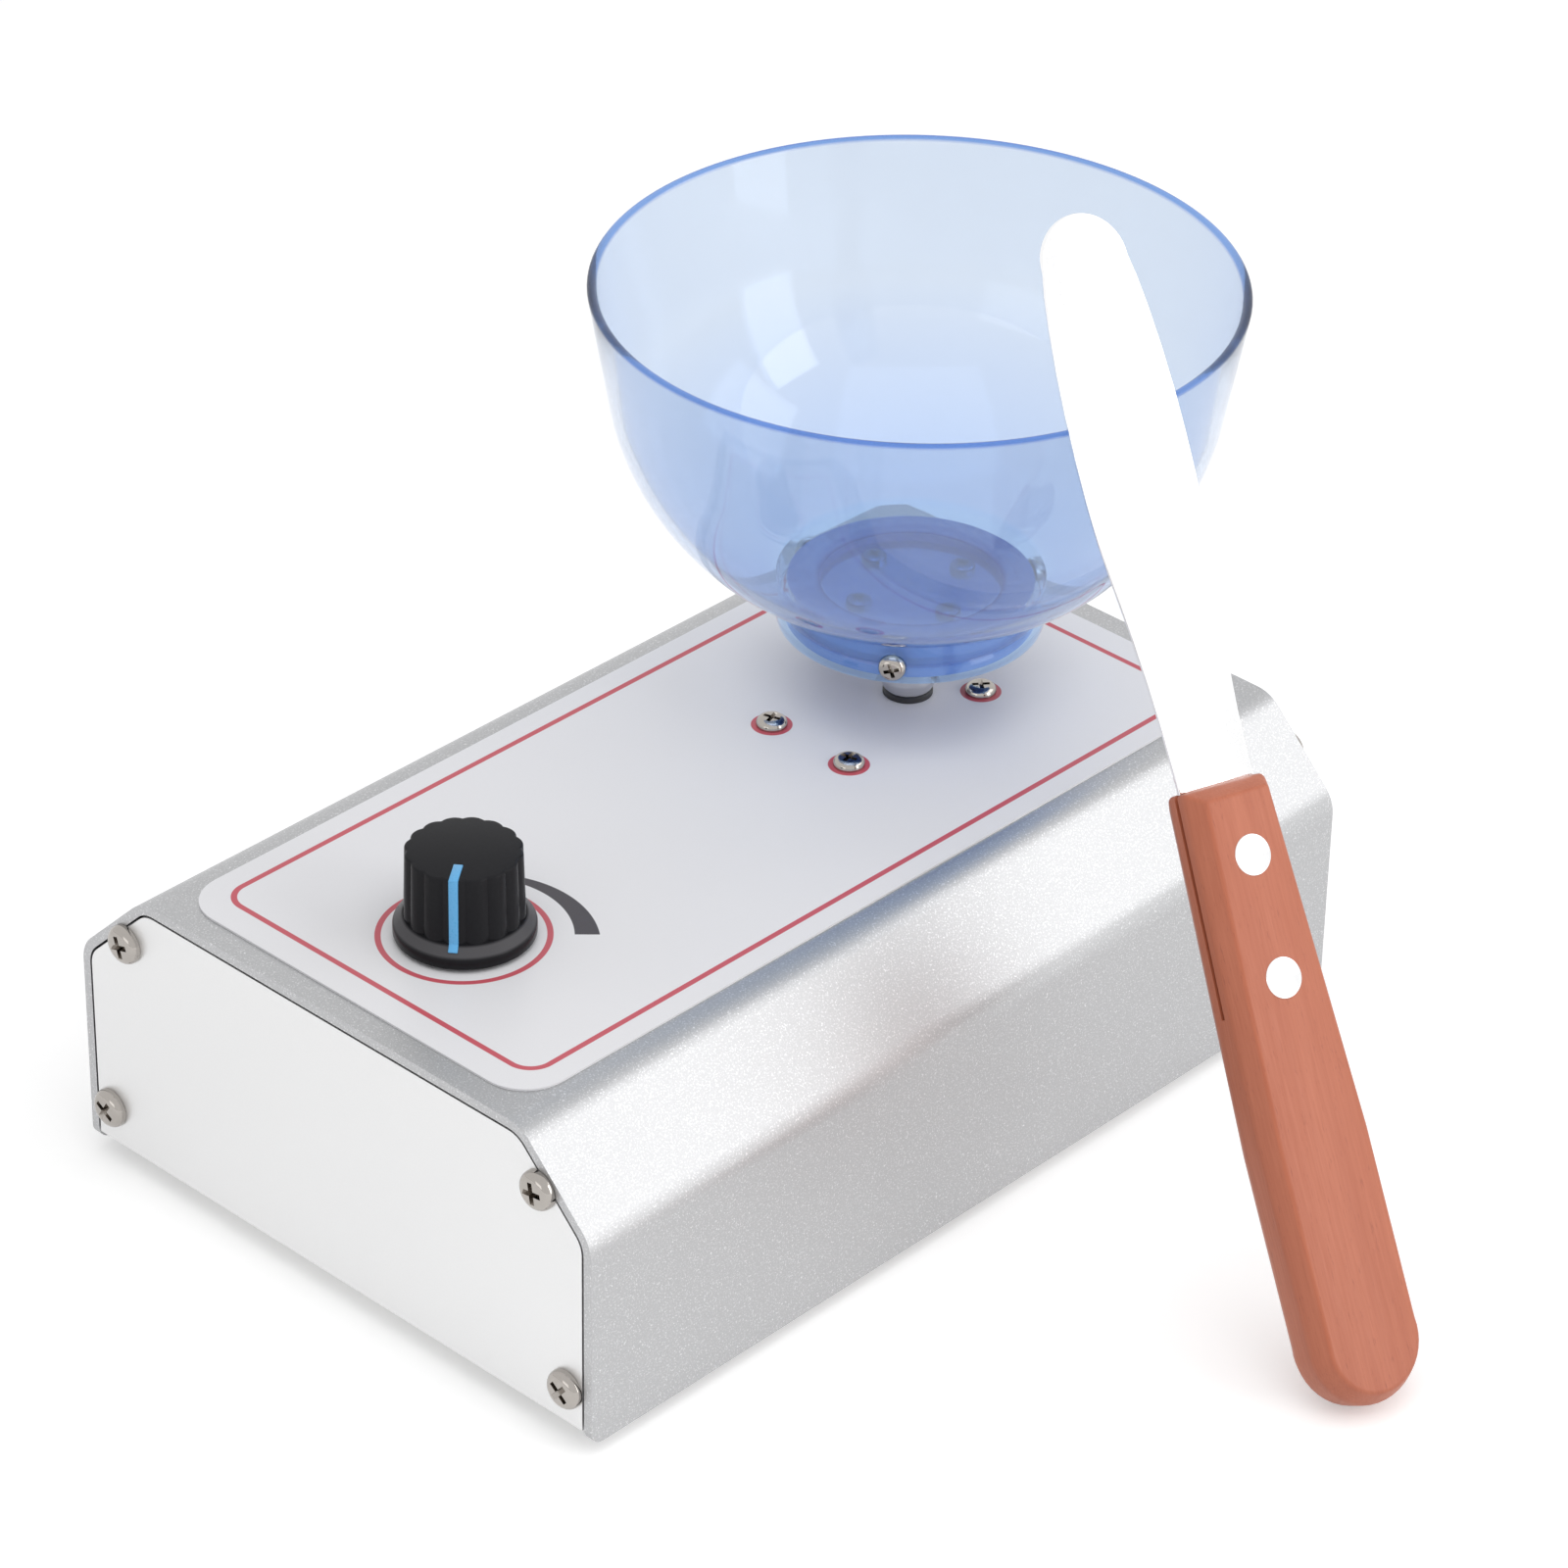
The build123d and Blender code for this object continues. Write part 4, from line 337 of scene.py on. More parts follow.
# %% Grained and brushed finishes
def grained_finish(name, colour, roughness, grain_size, strength, bump, spread, variation,
                   variation_size=22.0, roughness_spread=0.12, **shader_inputs):
    """A moulded, cast or blasted surface with a fine speckle."""
    shader, where = new_finish(name, **shader_inputs)
    speckle, height = grain(where, grain_size, strength)
    light = tuple(min(1.0, c * (1 + spread) + 0.02 * spread) for c in colour)
    tint = blend(speckle, varied(where, variation_size, colour, variation), light)
    rough = (speckle - 0.5) * roughness_spread + roughness
    dress(shader, tint, rough.clamped(), height, bump)


def brushed_finish(name, colour, roughness, along, size, bump=0.08, contrast=0.25,
                   variation=0.08):
    """Bare metal with fine lines along one axis."""
    shader, where = new_finish(name, Metallic=1.0)
    lines = brushed(where, along, size)
    dark = tuple(c * (1 - contrast) for c in colour)
    tint = blend(lines, dark, varied(where, 18.0, colour, variation))
    dress(shader, tint, ((lines - 0.5) * 0.25 + roughness).clamped(), lines, bump, 0.00005)


# %% [markdown]
# The housing's cover is sheet aluminium, bead blasted and clear anodised: a soft silver with a
# fine sparkle, because each bead leaves a dimple that catches the light by itself. Paint-like
# noise on its own would look like stone. The dimples go into the roughness and the bump as
# well as the colour. The brightest ones get less roughness, so part of the sparkle follows the
# lamps, and a much paler colour as well, which is a painted glint.
# The end plates are a paler satin with hardly any grain.

# %% Blasted aluminium and end plates
shader, where = new_finish("blasted_aluminium", Metallic=1.0)
speckle, height = grain(where, 0.34, 0.9)
# The brightest specks are painted glints: a paler colour, and less roughness as well.
painted_glints = ((speckle - 0.60) * 3.0).clamped()
dull = blend(speckle, (0.44, 0.442, 0.45), varied(where, 30.0, (0.54, 0.542, 0.55), 0.07))
dress(shader, blend(painted_glints, dull, (0.80, 0.80, 0.81)), 0.40 - painted_glints * 0.12, height, 0.26)
grained_finish("satin_end_plate", (0.80, 0.80, 0.802), 0.34, 0.4, strength=0.4, bump=0.10,
               spread=0.05, variation=0.04, variation_size=35.0, Metallic=0.8)
print("finishes so far:", list(finishes))

# %% [markdown]
# The control panel is a printed film stuck to the top of the cover: pale, satin, with a red
# line round its border, red rings round the four screws and round the knob, and a dark wedge
# that grows as the knob is turned up. The print has no thickness worth modelling, so it is
# drawn in the material with distances: a point belongs to a line if its distance from the
# line's middle is under half the line's width. One small group turns that into a mask.

# %% Printed panel film
print_group, off_line, width, softness = new_group("printed_line", Distance=0.0, Width=1.0,
                                                   Softness=0.12)
edge = (width * 0.5 - abs(off_line)) / softness + 0.5
close_group(print_group, Mask=edge.clamped())


def printed(distance, width):
    """Mask of a printed line."""
    return use_group(print_group, Distance=distance, Width=width)["Mask"]


panel_low, panel_high = node_box("control_panel")
knob_y = -70.0
dial_y, dial_r, dial_width = knob_y - 0.3, 16.4, 1.2
border_half, border_corner, border_width = (42.0, 93.8), 5.0, 1.25
screw_ring_r, screw_ring_width = 3.62, 1.15
wedge_start, wedge_sweep = radians(44.5), radians(105.5)
wedge_inner_r, wedge_thick, wedge_drift = 21.0, 4.8, 1.2
screw_spots = [(sx * 10.6, 44.8 + sy * 19.5) for sx in (-1, 1) for sy in (-1, 1)]

shader, where = new_finish("printed_film", Specular_IOR_Level=0.4)
x, y = along_axis(where, "X"), along_axis(where, "Y")
# Distance from a rounded rectangle, negative inside it.
past_x, past_y = (abs(v) - (half - border_corner) for v, half in zip((x, y), border_half))
corner = length(calc("MAXIMUM", past_x, 0.0), calc("MAXIMUM", past_y, 0.0))
side = calc("MINIMUM", calc("MAXIMUM", past_x, past_y), 0.0)
red = printed(corner + side - border_corner, border_width)
for screw_x, screw_y in screw_spots:
    off_ring = length(x - screw_x, y - screw_y) - screw_ring_r
    red = calc("MAXIMUM", red, printed(off_ring, screw_ring_width))
up = y - dial_y
far = length(x, up)
red = calc("MAXIMUM", red, printed(far - dial_r, dial_width))
# The wedge starts square at 44.5 degrees and thins to nothing at 150 degrees.
along = (calc("ARCTAN2", up, x) - wedge_start) / wedge_sweep
thick = (1.0 - along) * wedge_thick
wedge = printed(far - (wedge_inner_r - along * wedge_drift + thick * 0.5), thick)
wedge = wedge * calc("GREATER_THAN", along, 0.0) * calc("LESS_THAN", along, 1.0)

weave, height = grain(where, 0.22, 0.5)
paper = blend(weave, varied(where, 40.0, (0.79, 0.788, 0.81), 0.06), (0.82, 0.818, 0.84))
tint = blend(wedge, blend(red, paper, (0.56, 0.10, 0.13)), (0.055, 0.05, 0.06))
dress(shader, tint, weave * 0.10 + 0.30, height, 0.06)
print("panel:", [round(v, 1) for v in panel_low], [round(v, 1) for v in panel_high])

# %% [markdown]
# The bowl is moulded in a clear blue plastic with a slightly cloudy depth. Light passes both
# walls, so the blue is paler where one wall is seen and deeper at the rim, where one looks
# along the wall. Transmission in the shader tints the light on its way in and out. The
# deeper rim and lower wall are added by height, since a surface colour can't know how far the
# light has travelled in the wall. The foot ring is painted paler by height, a painted highlight
# for the bright bands it shows, and the floor is made darker towards the shaft. The body
# bends light very little and a clear coat carries the reflections, because a wall with the
# full index of the plastic pipes light along itself and shows dark wedges. Lamps shine
# through it and leave a pale blue shadow.

# %% Clear blue plastic
bowl_foot, bowl_rim = (v[2] for v in node_box("mixing_bowl"))
shaft_y = 54.0
print("bowl from", round(bowl_foot, 1), "to", round(bowl_rim, 1))

shader, where = new_finish("clear_blue_plastic", IOR=1.03, Transmission_Weight=0.92,
                           Coat_Weight=1.0, Coat_Roughness=0.05, Coat_IOR=1.46)
tree = shader.id_data
height = along_axis(where, "Z")
low_down = ((bowl_foot + 45.0 - height) / 38.0).clamped()
# The foot ring is painted paler: a painted highlight for its bright bands.
painted_highlight_foot = ((bowl_foot + 10.5 - height) * 0.5).clamped()
at_rim = ((height - (bowl_rim - 0.9)) * 1.6).clamped()
# Along the wall the path through the plastic is longer, so a grazing view is deeper.
grazing = output_of(tree, "LayerWeight", "Facing", Blend=0.5)
deeper = (calc("POWER", grazing, 3.0) * 0.45).clamped()
tint = varied(where, 30.0, (0.70, 0.785, 0.905), 0.05)
for mask, colour in ((low_down * 0.8, (0.40, 0.55, 0.86)), (deeper, (0.44, 0.57, 0.90)),
                     (painted_highlight_foot, (0.60, 0.78, 0.96)), (at_rim, (0.06, 0.18, 0.62))):
    tint = blend(mask, tint, colour)
haze = grain(where, 2.4, 0.5)[0]
dress(shader, tint, haze * 0.04 + 0.05, noise(where, 26.0, 0.0), 0.05, 0.0008)
# Lamps shine through the thin wall and leave a pale blue shadow. A ray that is caught in the
# wall leaves it instead of ending in black.
through = add_node(tree, "BsdfTransparent", Color=(0.93, 0.95, 0.985))
caught = calc("GREATER_THAN", output_of(tree, "LightPath", "Transmission Depth"), 4.0)
join_shaders("MixShader", shader, through,
             Fac=calc("MAXIMUM", ray_is(tree, "Shadow", "Diffuse"), caught))
grained_finish("blue_hub_plastic", (0.13, 0.27, 0.62), 0.30, 0.8, strength=0.3, bump=0.05,
               spread=0.10, variation=0.15)


def tint_beyond(finish, centre_y, radius, colour, slope=3):
    """Turns a finish to colour beyond a radius from (0, centre_y), or inwards if slope is -1."""
    tree = finishes[finish].node_tree
    across = calc("MULTIPLY_ADD", millimetres(tree), (1, 1, 0), (0, -centre_y, 0),
                  kind="VectorMath")
    past = (calc("LENGTH", across, kind="VectorMath", output="Value") - radius) * slope
    target = tree.nodes["Principled BSDF"].inputs["Base Color"]
    put(target, blend(past.clamped(), Value(target.links[0].from_socket), colour))


tint_beyond("clear_blue_plastic", shaft_y, 27.0, (0.38, 0.57, 0.88), -1)
tint_beyond("clear_blue_plastic", shaft_y, 19.5, (0.22, 0.38, 0.78), -1)
tint_beyond("blue_hub_plastic", shaft_y, 19.5, (0.045, 0.11, 0.40), -1)

# %% [markdown]
# The handle is turned from a red hardwood and oiled. Wood shows long fibres, darker pores
# that run with them, and slow bands where the growth rings are cut. The fibres run down the
# spatula, which leans, so the pattern is first turned into the spatula's own axes with a
# Mapping node, and then stretched along the handle.

# %% The spatula's own axes, and red wood
rim_radius, rim_round = 64.8, 1.0
lean, bearing, twist = radians(33.4), radians(-11.7), radians(3.8)
out_axis = Vector((cos(lean) * cos(bearing), cos(lean) * sin(bearing), sin(lean)))
up_axis = Vector((-sin(lean) * cos(bearing), -sin(lean) * sin(bearing), cos(lean)))
level_axis = Vector((-sin(bearing), cos(bearing), 0))
side_axis = cos(twist) * level_axis - sin(twist) * up_axis
blade_axis = out_axis.cross(side_axis)
rim_point = Vector((
    (rim_radius - rim_round) * cos(bearing),
    shaft_y + (rim_radius - rim_round) * sin(bearing),
    bowl_rim - rim_round,
))
clearance, blade_thick = 0.3, 1.0
spatula_origin = rim_point + out_axis * (rim_round + clearance + blade_thick / 2)
spatula_place = placement(spatula_origin, side_axis, blade_axis, out_axis)
print("spatula origin:", [round(v, 1) for v in spatula_origin])

shader, where = new_finish("red_hardwood", Specular_IOR_Level=0.55)
where = output_of(shader.id_data, "Mapping", "Vector", {"vector_type": "TEXTURE"}, Vector=where,
                  Rotation=spatula_place.to_euler())
fibres, bands, pores = (brushed(where, (1.0, slant, 1.0), size)
                        for slant, size in ((0.035, 0.45), (0.06, 4.5), (0.12, 0.35)))
wood = blend(bands, (0.43, 0.115, 0.055), (0.60, 0.195, 0.105))
wood = blend(fibres * 0.55, wood, (0.33, 0.080, 0.038))
open_pores = ((pores - 0.62) * 5.0).clamped()
wood = blend(open_pores * 0.55, wood, (0.22, 0.05, 0.03))
dress(shader, wood, fibres * 0.2 + 0.36, fibres - open_pores, 0.25)

# %% [markdown]
# The remaining finishes are calls to the two plans: black gloss for the knob, matt black for
# the moulded fittings, bright nickel for the screws, and the plainer metals, plastics and
# laminates of the drive and the electronics inside the housing. They are seen only through a
# section or with the cover off, yet each gets its own colour, gloss and grain.

# %% Plastics, rubber and metals
black = (0.014, 0.014, 0.016)
for name, shine in (("black_gloss_plastic", 0.08), ("black_rocker_plastic", 0.3)):
    grained_finish(name, black, 0.26, 0.6, strength=0.3, bump=0.03, spread=0.2, variation=0.2,
                   roughness_spread=0.08, Specular_IOR_Level=shine)
# The skirt's shoulder is painted paler than the gloss round it: a painted highlight
# for the grey sheen on its slope.
tint_beyond("black_gloss_plastic", knob_y, 11.9, (0.085, 0.083, 0.088))
tint_beyond("black_gloss_plastic", knob_y, 13.45, black)

# Each row: colour, roughness, grain size, its strength, bump, spread and slow variation.
for name, row, extra in (
    ("blue_pointer_plastic", ((0.11, 0.40, 0.72), 0.28, 0.4, 0.3, 0.03, 0.10, 0.08), {}),
    ("matt_black_plastic", ((0.022, 0.022, 0.024), 0.48, 0.25, 0.6, 0.2, 0.4, 0.2), {}),
    ("foot_rubber", ((0.028, 0.028, 0.028), 0.72, 0.5, 0.6, 0.25, 0.5, 0.3), {}),
    ("white_gear_plastic", ((0.76, 0.75, 0.71), 0.42, 0.5, 0.3, 0.06, 0.05, 0.08), {}),
    ("green_terminal_plastic", ((0.05, 0.34, 0.14), 0.45, 0.3, 0.5, 0.12, 0.15, 0.1), {}),
    ("die_cast_alloy", ((0.50, 0.50, 0.51), 0.50, 0.7, 0.7, 0.3, 0.15, 0.2), {"Metallic": 0.9}),
    ("sintered_magnet", ((0.06, 0.06, 0.062), 0.6, 0.35, 0.8, 0.3, 0.5, 0.2),
     {"Metallic": 0.2}),
    ("fuse_glass", ((0.88, 0.90, 0.90), 0.06, 3.0, 0.2, 0.01, 0.02, 0.03),
     {"roughness_spread": 0.04, "Transmission_Weight": 0.85, "IOR": 1.5}),
):
    grained_finish(name, *row, **extra)

# Each row: colour, roughness, direction and size of the lines, bump, contrast, variation.
for name, *row in (
    ("bright_nickel", (0.46, 0.43, 0.40), 0.12, (1.0, 1.0, 0.3), 0.5, 0.03, 0.12),
    ("polished_blade", (0.97, 0.972, 0.975), 0.12, (1.0, 1.0, 0.06), 0.3, 0.02, 0.03, 0.01),
    ("turned_steel", (0.82, 0.82, 0.83), 0.20, (0.05, 0.05, 1.0), 0.2),
    ("zinc_sheet", (0.58, 0.58, 0.56), 0.36, (0.1, 1.0, 1.0), 0.6, 0.08, 0.3),
    ("plain_brass", (0.70, 0.53, 0.27), 0.30, (0.1, 0.1, 1.0), 0.25),
    ("copper_winding", (0.62, 0.29, 0.15), 0.34, (0.02, 0.02, 1.0), 0.5, 0.4, 0.5),
    ("laminated_steel", (0.11, 0.11, 0.12), 0.42, (0.01, 0.01, 1.0), 0.5, 0.4, 0.5),
):
    brushed_finish(name, *row)

# Green solder mask with paler copper tracks that run along and across the board.
shader, where = new_finish("board_laminate", Coat_Weight=0.2)
tracks = output_of(shader.id_data, "TexBrick", "Fac", Vector=where, Scale=0.16, Mortar_Size=0.06,
                   Brick_Width=0.9, Row_Height=0.45)
tint = blend(tracks * 0.6, varied(where, 12.0, (0.03, 0.19, 0.08), 0.2), (0.10, 0.40, 0.18))
dress(shader, tint, 0.35, tracks, 0.2)
print("finishes:", len(finishes))

# %% [markdown]
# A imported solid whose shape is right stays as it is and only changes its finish, by putting a
# material in its slots. The mesh itself is never touched. The list below is also a parts
# list: it says which solids are made of what.

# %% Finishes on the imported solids
made_of = {
    "blasted_aluminium": "housing_cover",
    "satin_end_plate": "front_end_plate rear_end_plate",
    "printed_film": "control_panel",
    "zinc_sheet": "base_plate motor_can potentiometer_body transformer_bracket",
    "foot_rubber": "rubber_feet",
    "bright_nickel": "end_plate_screws foot_screws panel_screws gear_case_screws motor_screws "
                     "potentiometer_nut board_screws transformer_screws inlet_pins "
                     "inlet_screws hub_screws bowl_screws",
    "die_cast_alloy": "gear_case_body gear_case_cover heat_sink",
    "matt_black_plastic": "upper_shaft_bushing motor_end_cap board_capacitors "
                          "power_transistor power_inlet switch_housing fuse_holder fuse_cap",
    "plain_brass": "lower_shaft_bushing motor_bearings board_standoffs motor_pinion",
    "turned_steel": "idler_axle output_shaft hub_neck motor_shaft potentiometer_shaft",
    "sintered_magnet": "motor_magnets motor_brushes",
    "board_laminate": "speed_control_board",
    "green_terminal_plastic": "terminal_block",
    "laminated_steel": "transformer_core neck_set_screw motor_armature",
    "copper_winding": "transformer_coil",
    "fuse_glass": "fuse",
    "white_gear_plastic": "output_gear idler_gear",
    "blue_hub_plastic": "hub_disc",
    "clear_blue_plastic": "mixing_bowl",
    "black_gloss_plastic": "speed_knob",
    "blue_pointer_plastic": "knob_pointer",
    "black_rocker_plastic": "switch_rocker",
    "polished_blade": "spatula_blade spatula_rivets",
    "red_hardwood": "spatula_handle",
}
plain = set(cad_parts)
for finish, nodes in made_of.items():
    for node in nodes.split():
        plain.discard(node)
        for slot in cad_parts[node].material_slots:
            slot.material = finishes[finish]
print("solids without a finish:", sorted(plain))

# %% [markdown]
# New pieces are shaped in a bmesh and then finished in one way: doubles merged, faces turned
# outwards, millimetres scaled to metres, smooth shading with sharp edges kept, and a body to
# ride on. A second helper cuts one shape out of another, for recesses that no bevel can make.

# %% Helpers for meshes: whole shapes
def take_mesh(bm, name="shape"):
    """Turns a bmesh into a mesh and frees it."""
    mesh = bpy.data.meshes.new(name)
    bm.to_mesh(mesh)
    bm.free()
    return mesh


def face_outwards(bm):
    bmesh.ops.recalc_face_normals(bm, faces=bm.faces[:])


def merge_doubles(bm, dist=0.001):
    bmesh.ops.remove_doubles(bm, verts=bm.verts[:], dist=dist)


def move(bm, vec, verts=None):
    """Moves some vertices of a shape, or all of them."""
    bmesh.ops.translate(bm, vec=vec, verts=verts or bm.verts[:])


def finish_piece(bm, name, finish, body, slot, *stands_for, crease=35.0):
    """Turns a bmesh in millimetres into a piece of the scene."""
    merge_doubles(bm)
    face_outwards(bm)
    bmesh.ops.scale(bm, vec=(mm, mm, mm), verts=bm.verts[:])
    mesh = take_mesh(bm, name)
    mesh.polygons.foreach_set("use_smooth", [True] * len(mesh.polygons))
    mesh.set_sharp_from_angle(angle=radians(crease))
    mesh.materials.append(finishes[finish])
    piece = add_object(name, mesh)
    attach(piece, body)
    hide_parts(*stands_for)
    print(name, "faces:", len(mesh.polygons))


def cut_out(bm, cutter):
    """Takes one closed bmesh out of another, frees both and returns what is left."""
    sides = []
    for shape in (bm, cutter):
        face_outwards(shape)
        sides.append(add_object("shape", take_mesh(shape)))
    step = sides[0].modifiers.new("cut", "BOOLEAN")
    step.operation, step.solver, step.object = "DIFFERENCE", "EXACT", sides[1]
    left = bmesh.new()
    left.from_object(sides[0], bpy.context.evaluated_depsgraph_get())
    for side in sides:
        mesh = side.data
        bpy.data.objects.remove(side)
        bpy.data.meshes.remove(mesh)
    return left


def add_copy(target, source, place):
    """Adds source to target, moved by a matrix; the source stays as it is."""
    copy = source.copy()
    bmesh.ops.transform(copy, matrix=place, verts=copy.verts[:])
    mesh = take_mesh(copy)
    target.from_mesh(mesh)
    bpy.data.meshes.remove(mesh)


# %% [markdown]
# Most of these shapes start as an outline of a few points. A round one is the outline spun
# about a vertical axis, and a flat one is the outline filled and pulled out to its thickness.
# Edges are then picked by the circle they lie on, or by their angle, and bevelled.

# %% Helpers for meshes: outlines and edges
def new_verts(made):
    """The vertices among the things that an operator made."""
    return [item for item in made if isinstance(item, bmesh.types.BMVert)]


def path_points(bm, points):
    """Joins points into a chain of edges; returns its vertices."""
    verts = [bm.verts.new(p) for p in points]
    for pair in zip(verts, verts[1:]):
        bm.edges.new(pair)
    return verts


def sweep_arc(bm, first, centre, angle, steps, axis=(0, -1, 0)):
    """Spins one vertex into an arc; returns the vertex at its end."""
    swept = bmesh.ops.spin(bm, geom=[first], cent=centre, axis=axis, angle=angle, steps=steps)
    return new_verts(swept["geom_last"])[0]


def spin_round(bm, steps):
    """Spins the whole outline once round a vertical axis."""
    bmesh.ops.spin(bm, geom=bm.verts[:] + bm.edges[:], cent=(0, 0, 0), axis=(0, 0, 1),
                   angle=2 * pi, steps=steps, use_merge=True)
    merge_doubles(bm)


def lathe(steps, *profile):
    """A shape spun from pairs of a radius and a height."""
    bm = bmesh.new()
    path_points(bm, [(radius, 0, height) for radius, height in profile])
    spin_round(bm, steps)
    return bm


def round_edges(bm, edges, width, segments=3):
    bmesh.ops.bevel(bm, geom=edges, offset=width, offset_type="OFFSET", segments=segments,
                    profile=0.5, affect="EDGES", material=-1, clamp_overlap=True)


def round_rings(bm, width, segments, *rings):
    """Rounds the edges on circles that are pairs of a radius and a height."""
    def on_ring(vert, radius, height, near=0.02):
        return abs(vert.co.xy.length - radius) < near and abs(vert.co.z - height) < near
    edges = [e for ring in rings for e in bm.edges if all(on_ring(v, *ring) for v in e.verts)]
    round_edges(bm, edges, width, segments)


def thicken(bm, vec):
    """Fills a closed outline and pulls the face out by vec; returns the new vertices."""
    face = bmesh.ops.contextual_create(bm, geom=bm.edges[:])["faces"]
    raised = new_verts(bmesh.ops.extrude_face_region(bm, geom=face)["geom"])
    move(bm, vec, raised)
    face_outwards(bm)
    return raised


def mirror_and_thicken(bm, thick):
    """Makes a plate from the right half of its outline."""
    bmesh.ops.mirror(bm, geom=bm.verts[:] + bm.edges[:], axis="X", merge_dist=0.01)
    merge_doubles(bm, 0.01)
    thicken(bm, (0, 0, thick))


# %% [markdown]
# The bowl is one moulding: a thin wall that is straight near the rim and curls in one large
# arc down to a short foot ring, with a flat floor inside. A lathe shape is spun from half of
# its section. The section is a chain of straight runs and of arcs that are themselves spun
# from a single vertex, so the only numbers needed are the ones a mould maker would use. The
# rim and the foot are then rounded with a bevel.

# %% Bowl: section and spin
ring_radius, ring_wall, ring_height = 27.2, 2.2, 9.4
floor_rise, wall, straight_part = 8.0, 2.0, 23.5
draft = radians(9.5)
spring_z = bowl_rim - straight_part
spring_r = rim_radius - straight_part * tan(draft)
ring_top = bowl_foot + ring_height
reach, drop = spring_r - ring_radius, spring_z - ring_top
curve_r = (reach**2 + drop**2) / (2 * (reach * cos(draft) - drop * sin(draft)))
curve_x = spring_r - curve_r * cos(draft)
curve_z = spring_z + curve_r * sin(draft)
floor_under, floor_top = bowl_foot + floor_rise, bowl_foot + floor_rise + wall
inner_r = curve_r - wall
ring_inside, rim_inside = ring_radius - ring_wall, rim_radius - wall / cos(draft)

bowl = bmesh.new()
outer_start = bowl.verts.new((ring_radius, 0, ring_top))
outer_angle = atan2(ring_top - curve_z, ring_radius - curve_x)
outer_end = sweep_arc(bowl, outer_start, (curve_x, 0, curve_z), -draft - outer_angle, 28)
inner_start = bowl.verts.new((spring_r - wall * cos(draft), 0, spring_z + wall * sin(draft)))
floor_angle = atan2(floor_top - curve_z, sqrt(inner_r**2 - (curve_z - floor_top) ** 2))
inner_end = sweep_arc(bowl, inner_start, (curve_x, 0, curve_z), floor_angle + draft, 26)
# Two soft beads run round the ring, with a fine groove between them.
beads = ((-0.30, 0), (-0.04, 1.4), (0, 2.2), (-0.12, 3.2), (-0.55, 4.2), (-0.20, 5.1), (0, 6.4))
foot = path_points(bowl, [(0, 0, floor_under), (ring_inside, 0, floor_under),
                          (ring_inside, 0, bowl_foot)]
                   + [(ring_radius + out, 0, bowl_foot + up) for out, up in beads])
rim = path_points(bowl, [(rim_radius, 0, bowl_rim), (rim_inside, 0, bowl_rim)])
middle = bowl.verts.new((0, 0, floor_top))
for pair in ((foot[-1], outer_start), (outer_end, rim[0]), (rim[1], inner_start),
             (inner_end, middle)):
    bowl.edges.new(pair)
print("arc ends:", [round(v, 2) for v in outer_end.co], [round(v, 2) for v in inner_end.co])
spin_round(bowl, 144)
round_rings(bowl, 0.92, 5, (rim_radius, bowl_rim), (rim_inside, bowl_rim))
round_rings(bowl, 0.4, 3, (ring_radius - 0.3, bowl_foot), (ring_inside, bowl_foot))
face_outwards(bowl)

# %% [markdown]
# Three small screws go through the foot ring into the hub, each in a shallow round seat. The
# seats are cut with short drums that are copied round the axis.

# %% Bowl: screw seats
seat_r, seat_z = ring_radius - 0.6, bowl_foot + 3.8


def ring_places(distance):
    """Three places round the ring, each with its own Z pointing outwards."""
    for i in range(3):
        angle = radians(-55 + 120 * i)
        out, across = Vector((cos(angle), sin(angle), 0)), Vector((-sin(angle), cos(angle), 0))
        yield placement(out * distance + Vector((0, 0, seat_z)), across, (0, 0, 1), out)


for drum_r, distance in ((3.1, seat_r + 1.5), (1.75, seat_r - 1.2)):
    drums = bmesh.new()
    for place in ring_places(distance):
        bmesh.ops.create_cone(drums, cap_ends=True, segments=36, radius1=drum_r, radius2=drum_r,
                              depth=3, matrix=place)
    bowl = cut_out(bowl, drums)
move(bowl, (0, shaft_y, 0))
finish_piece(bowl, "bowl_moulding", "clear_blue_plastic", "spinner", "blue_clear_plastic",
             "mixing_bowl", crease=28)

# %% [markdown]
# All the screws are one kind in several sizes: a pan head with a rounded shoulder and a cross
# recess whose arms narrow towards the bottom. The head is spun from three straight runs and
# its shoulder is bevelled. The recess is a cross grown from a square by pushing out its four
# sides; it is pulled down and made narrower at the bottom, and then cut out of the head.

# %% Cross-recessed screw
def cross_cutter(arm, width, top, depth, over=0.4, narrowing=0.62):
    """A tapered cross that starts over the top and points down."""
    cross = bmesh.new()
    bmesh.ops.create_grid(cross, x_segments=1, y_segments=1, size=width / 2)
    for edge in [e for e in cross.edges if e.is_boundary]:
        outward = ((edge.verts[0].co + edge.verts[1].co) / 2).normalized()
        tips = new_verts(bmesh.ops.extrude_edge_only(cross, edges=[edge])["geom"])
        move(cross, outward * (arm - width / 2), tips)
    move(cross, (0, 0, top + over))
    low = new_verts(bmesh.ops.extrude_face_region(cross, geom=cross.faces[:])["geom"])
    move(cross, (0, 0, -depth - over), low)
    bmesh.ops.scale(cross, vec=(narrowing, narrowing, 1), verts=low)
    return cross


def pan_screw(head, height, thread, length):
    """A screw with its seat at z = 0 and its thread pointing down."""
    head_r, thread_r = head / 2, thread / 2
    screw = lathe(40, (0, height), (head_r, height), (head_r, 0), (thread_r, 0),
                  (thread_r, 0.3 - length), (thread_r - 0.3, -length), (0, -length))
    round_rings(screw, 0.8 * height, 7, (head_r, height))
    round_rings(screw, 0.12, 1, (head_r, 0))
    return cut_out(screw, cross_cutter(0.31 * head, 0.15 * head, height, 0.70 * height))


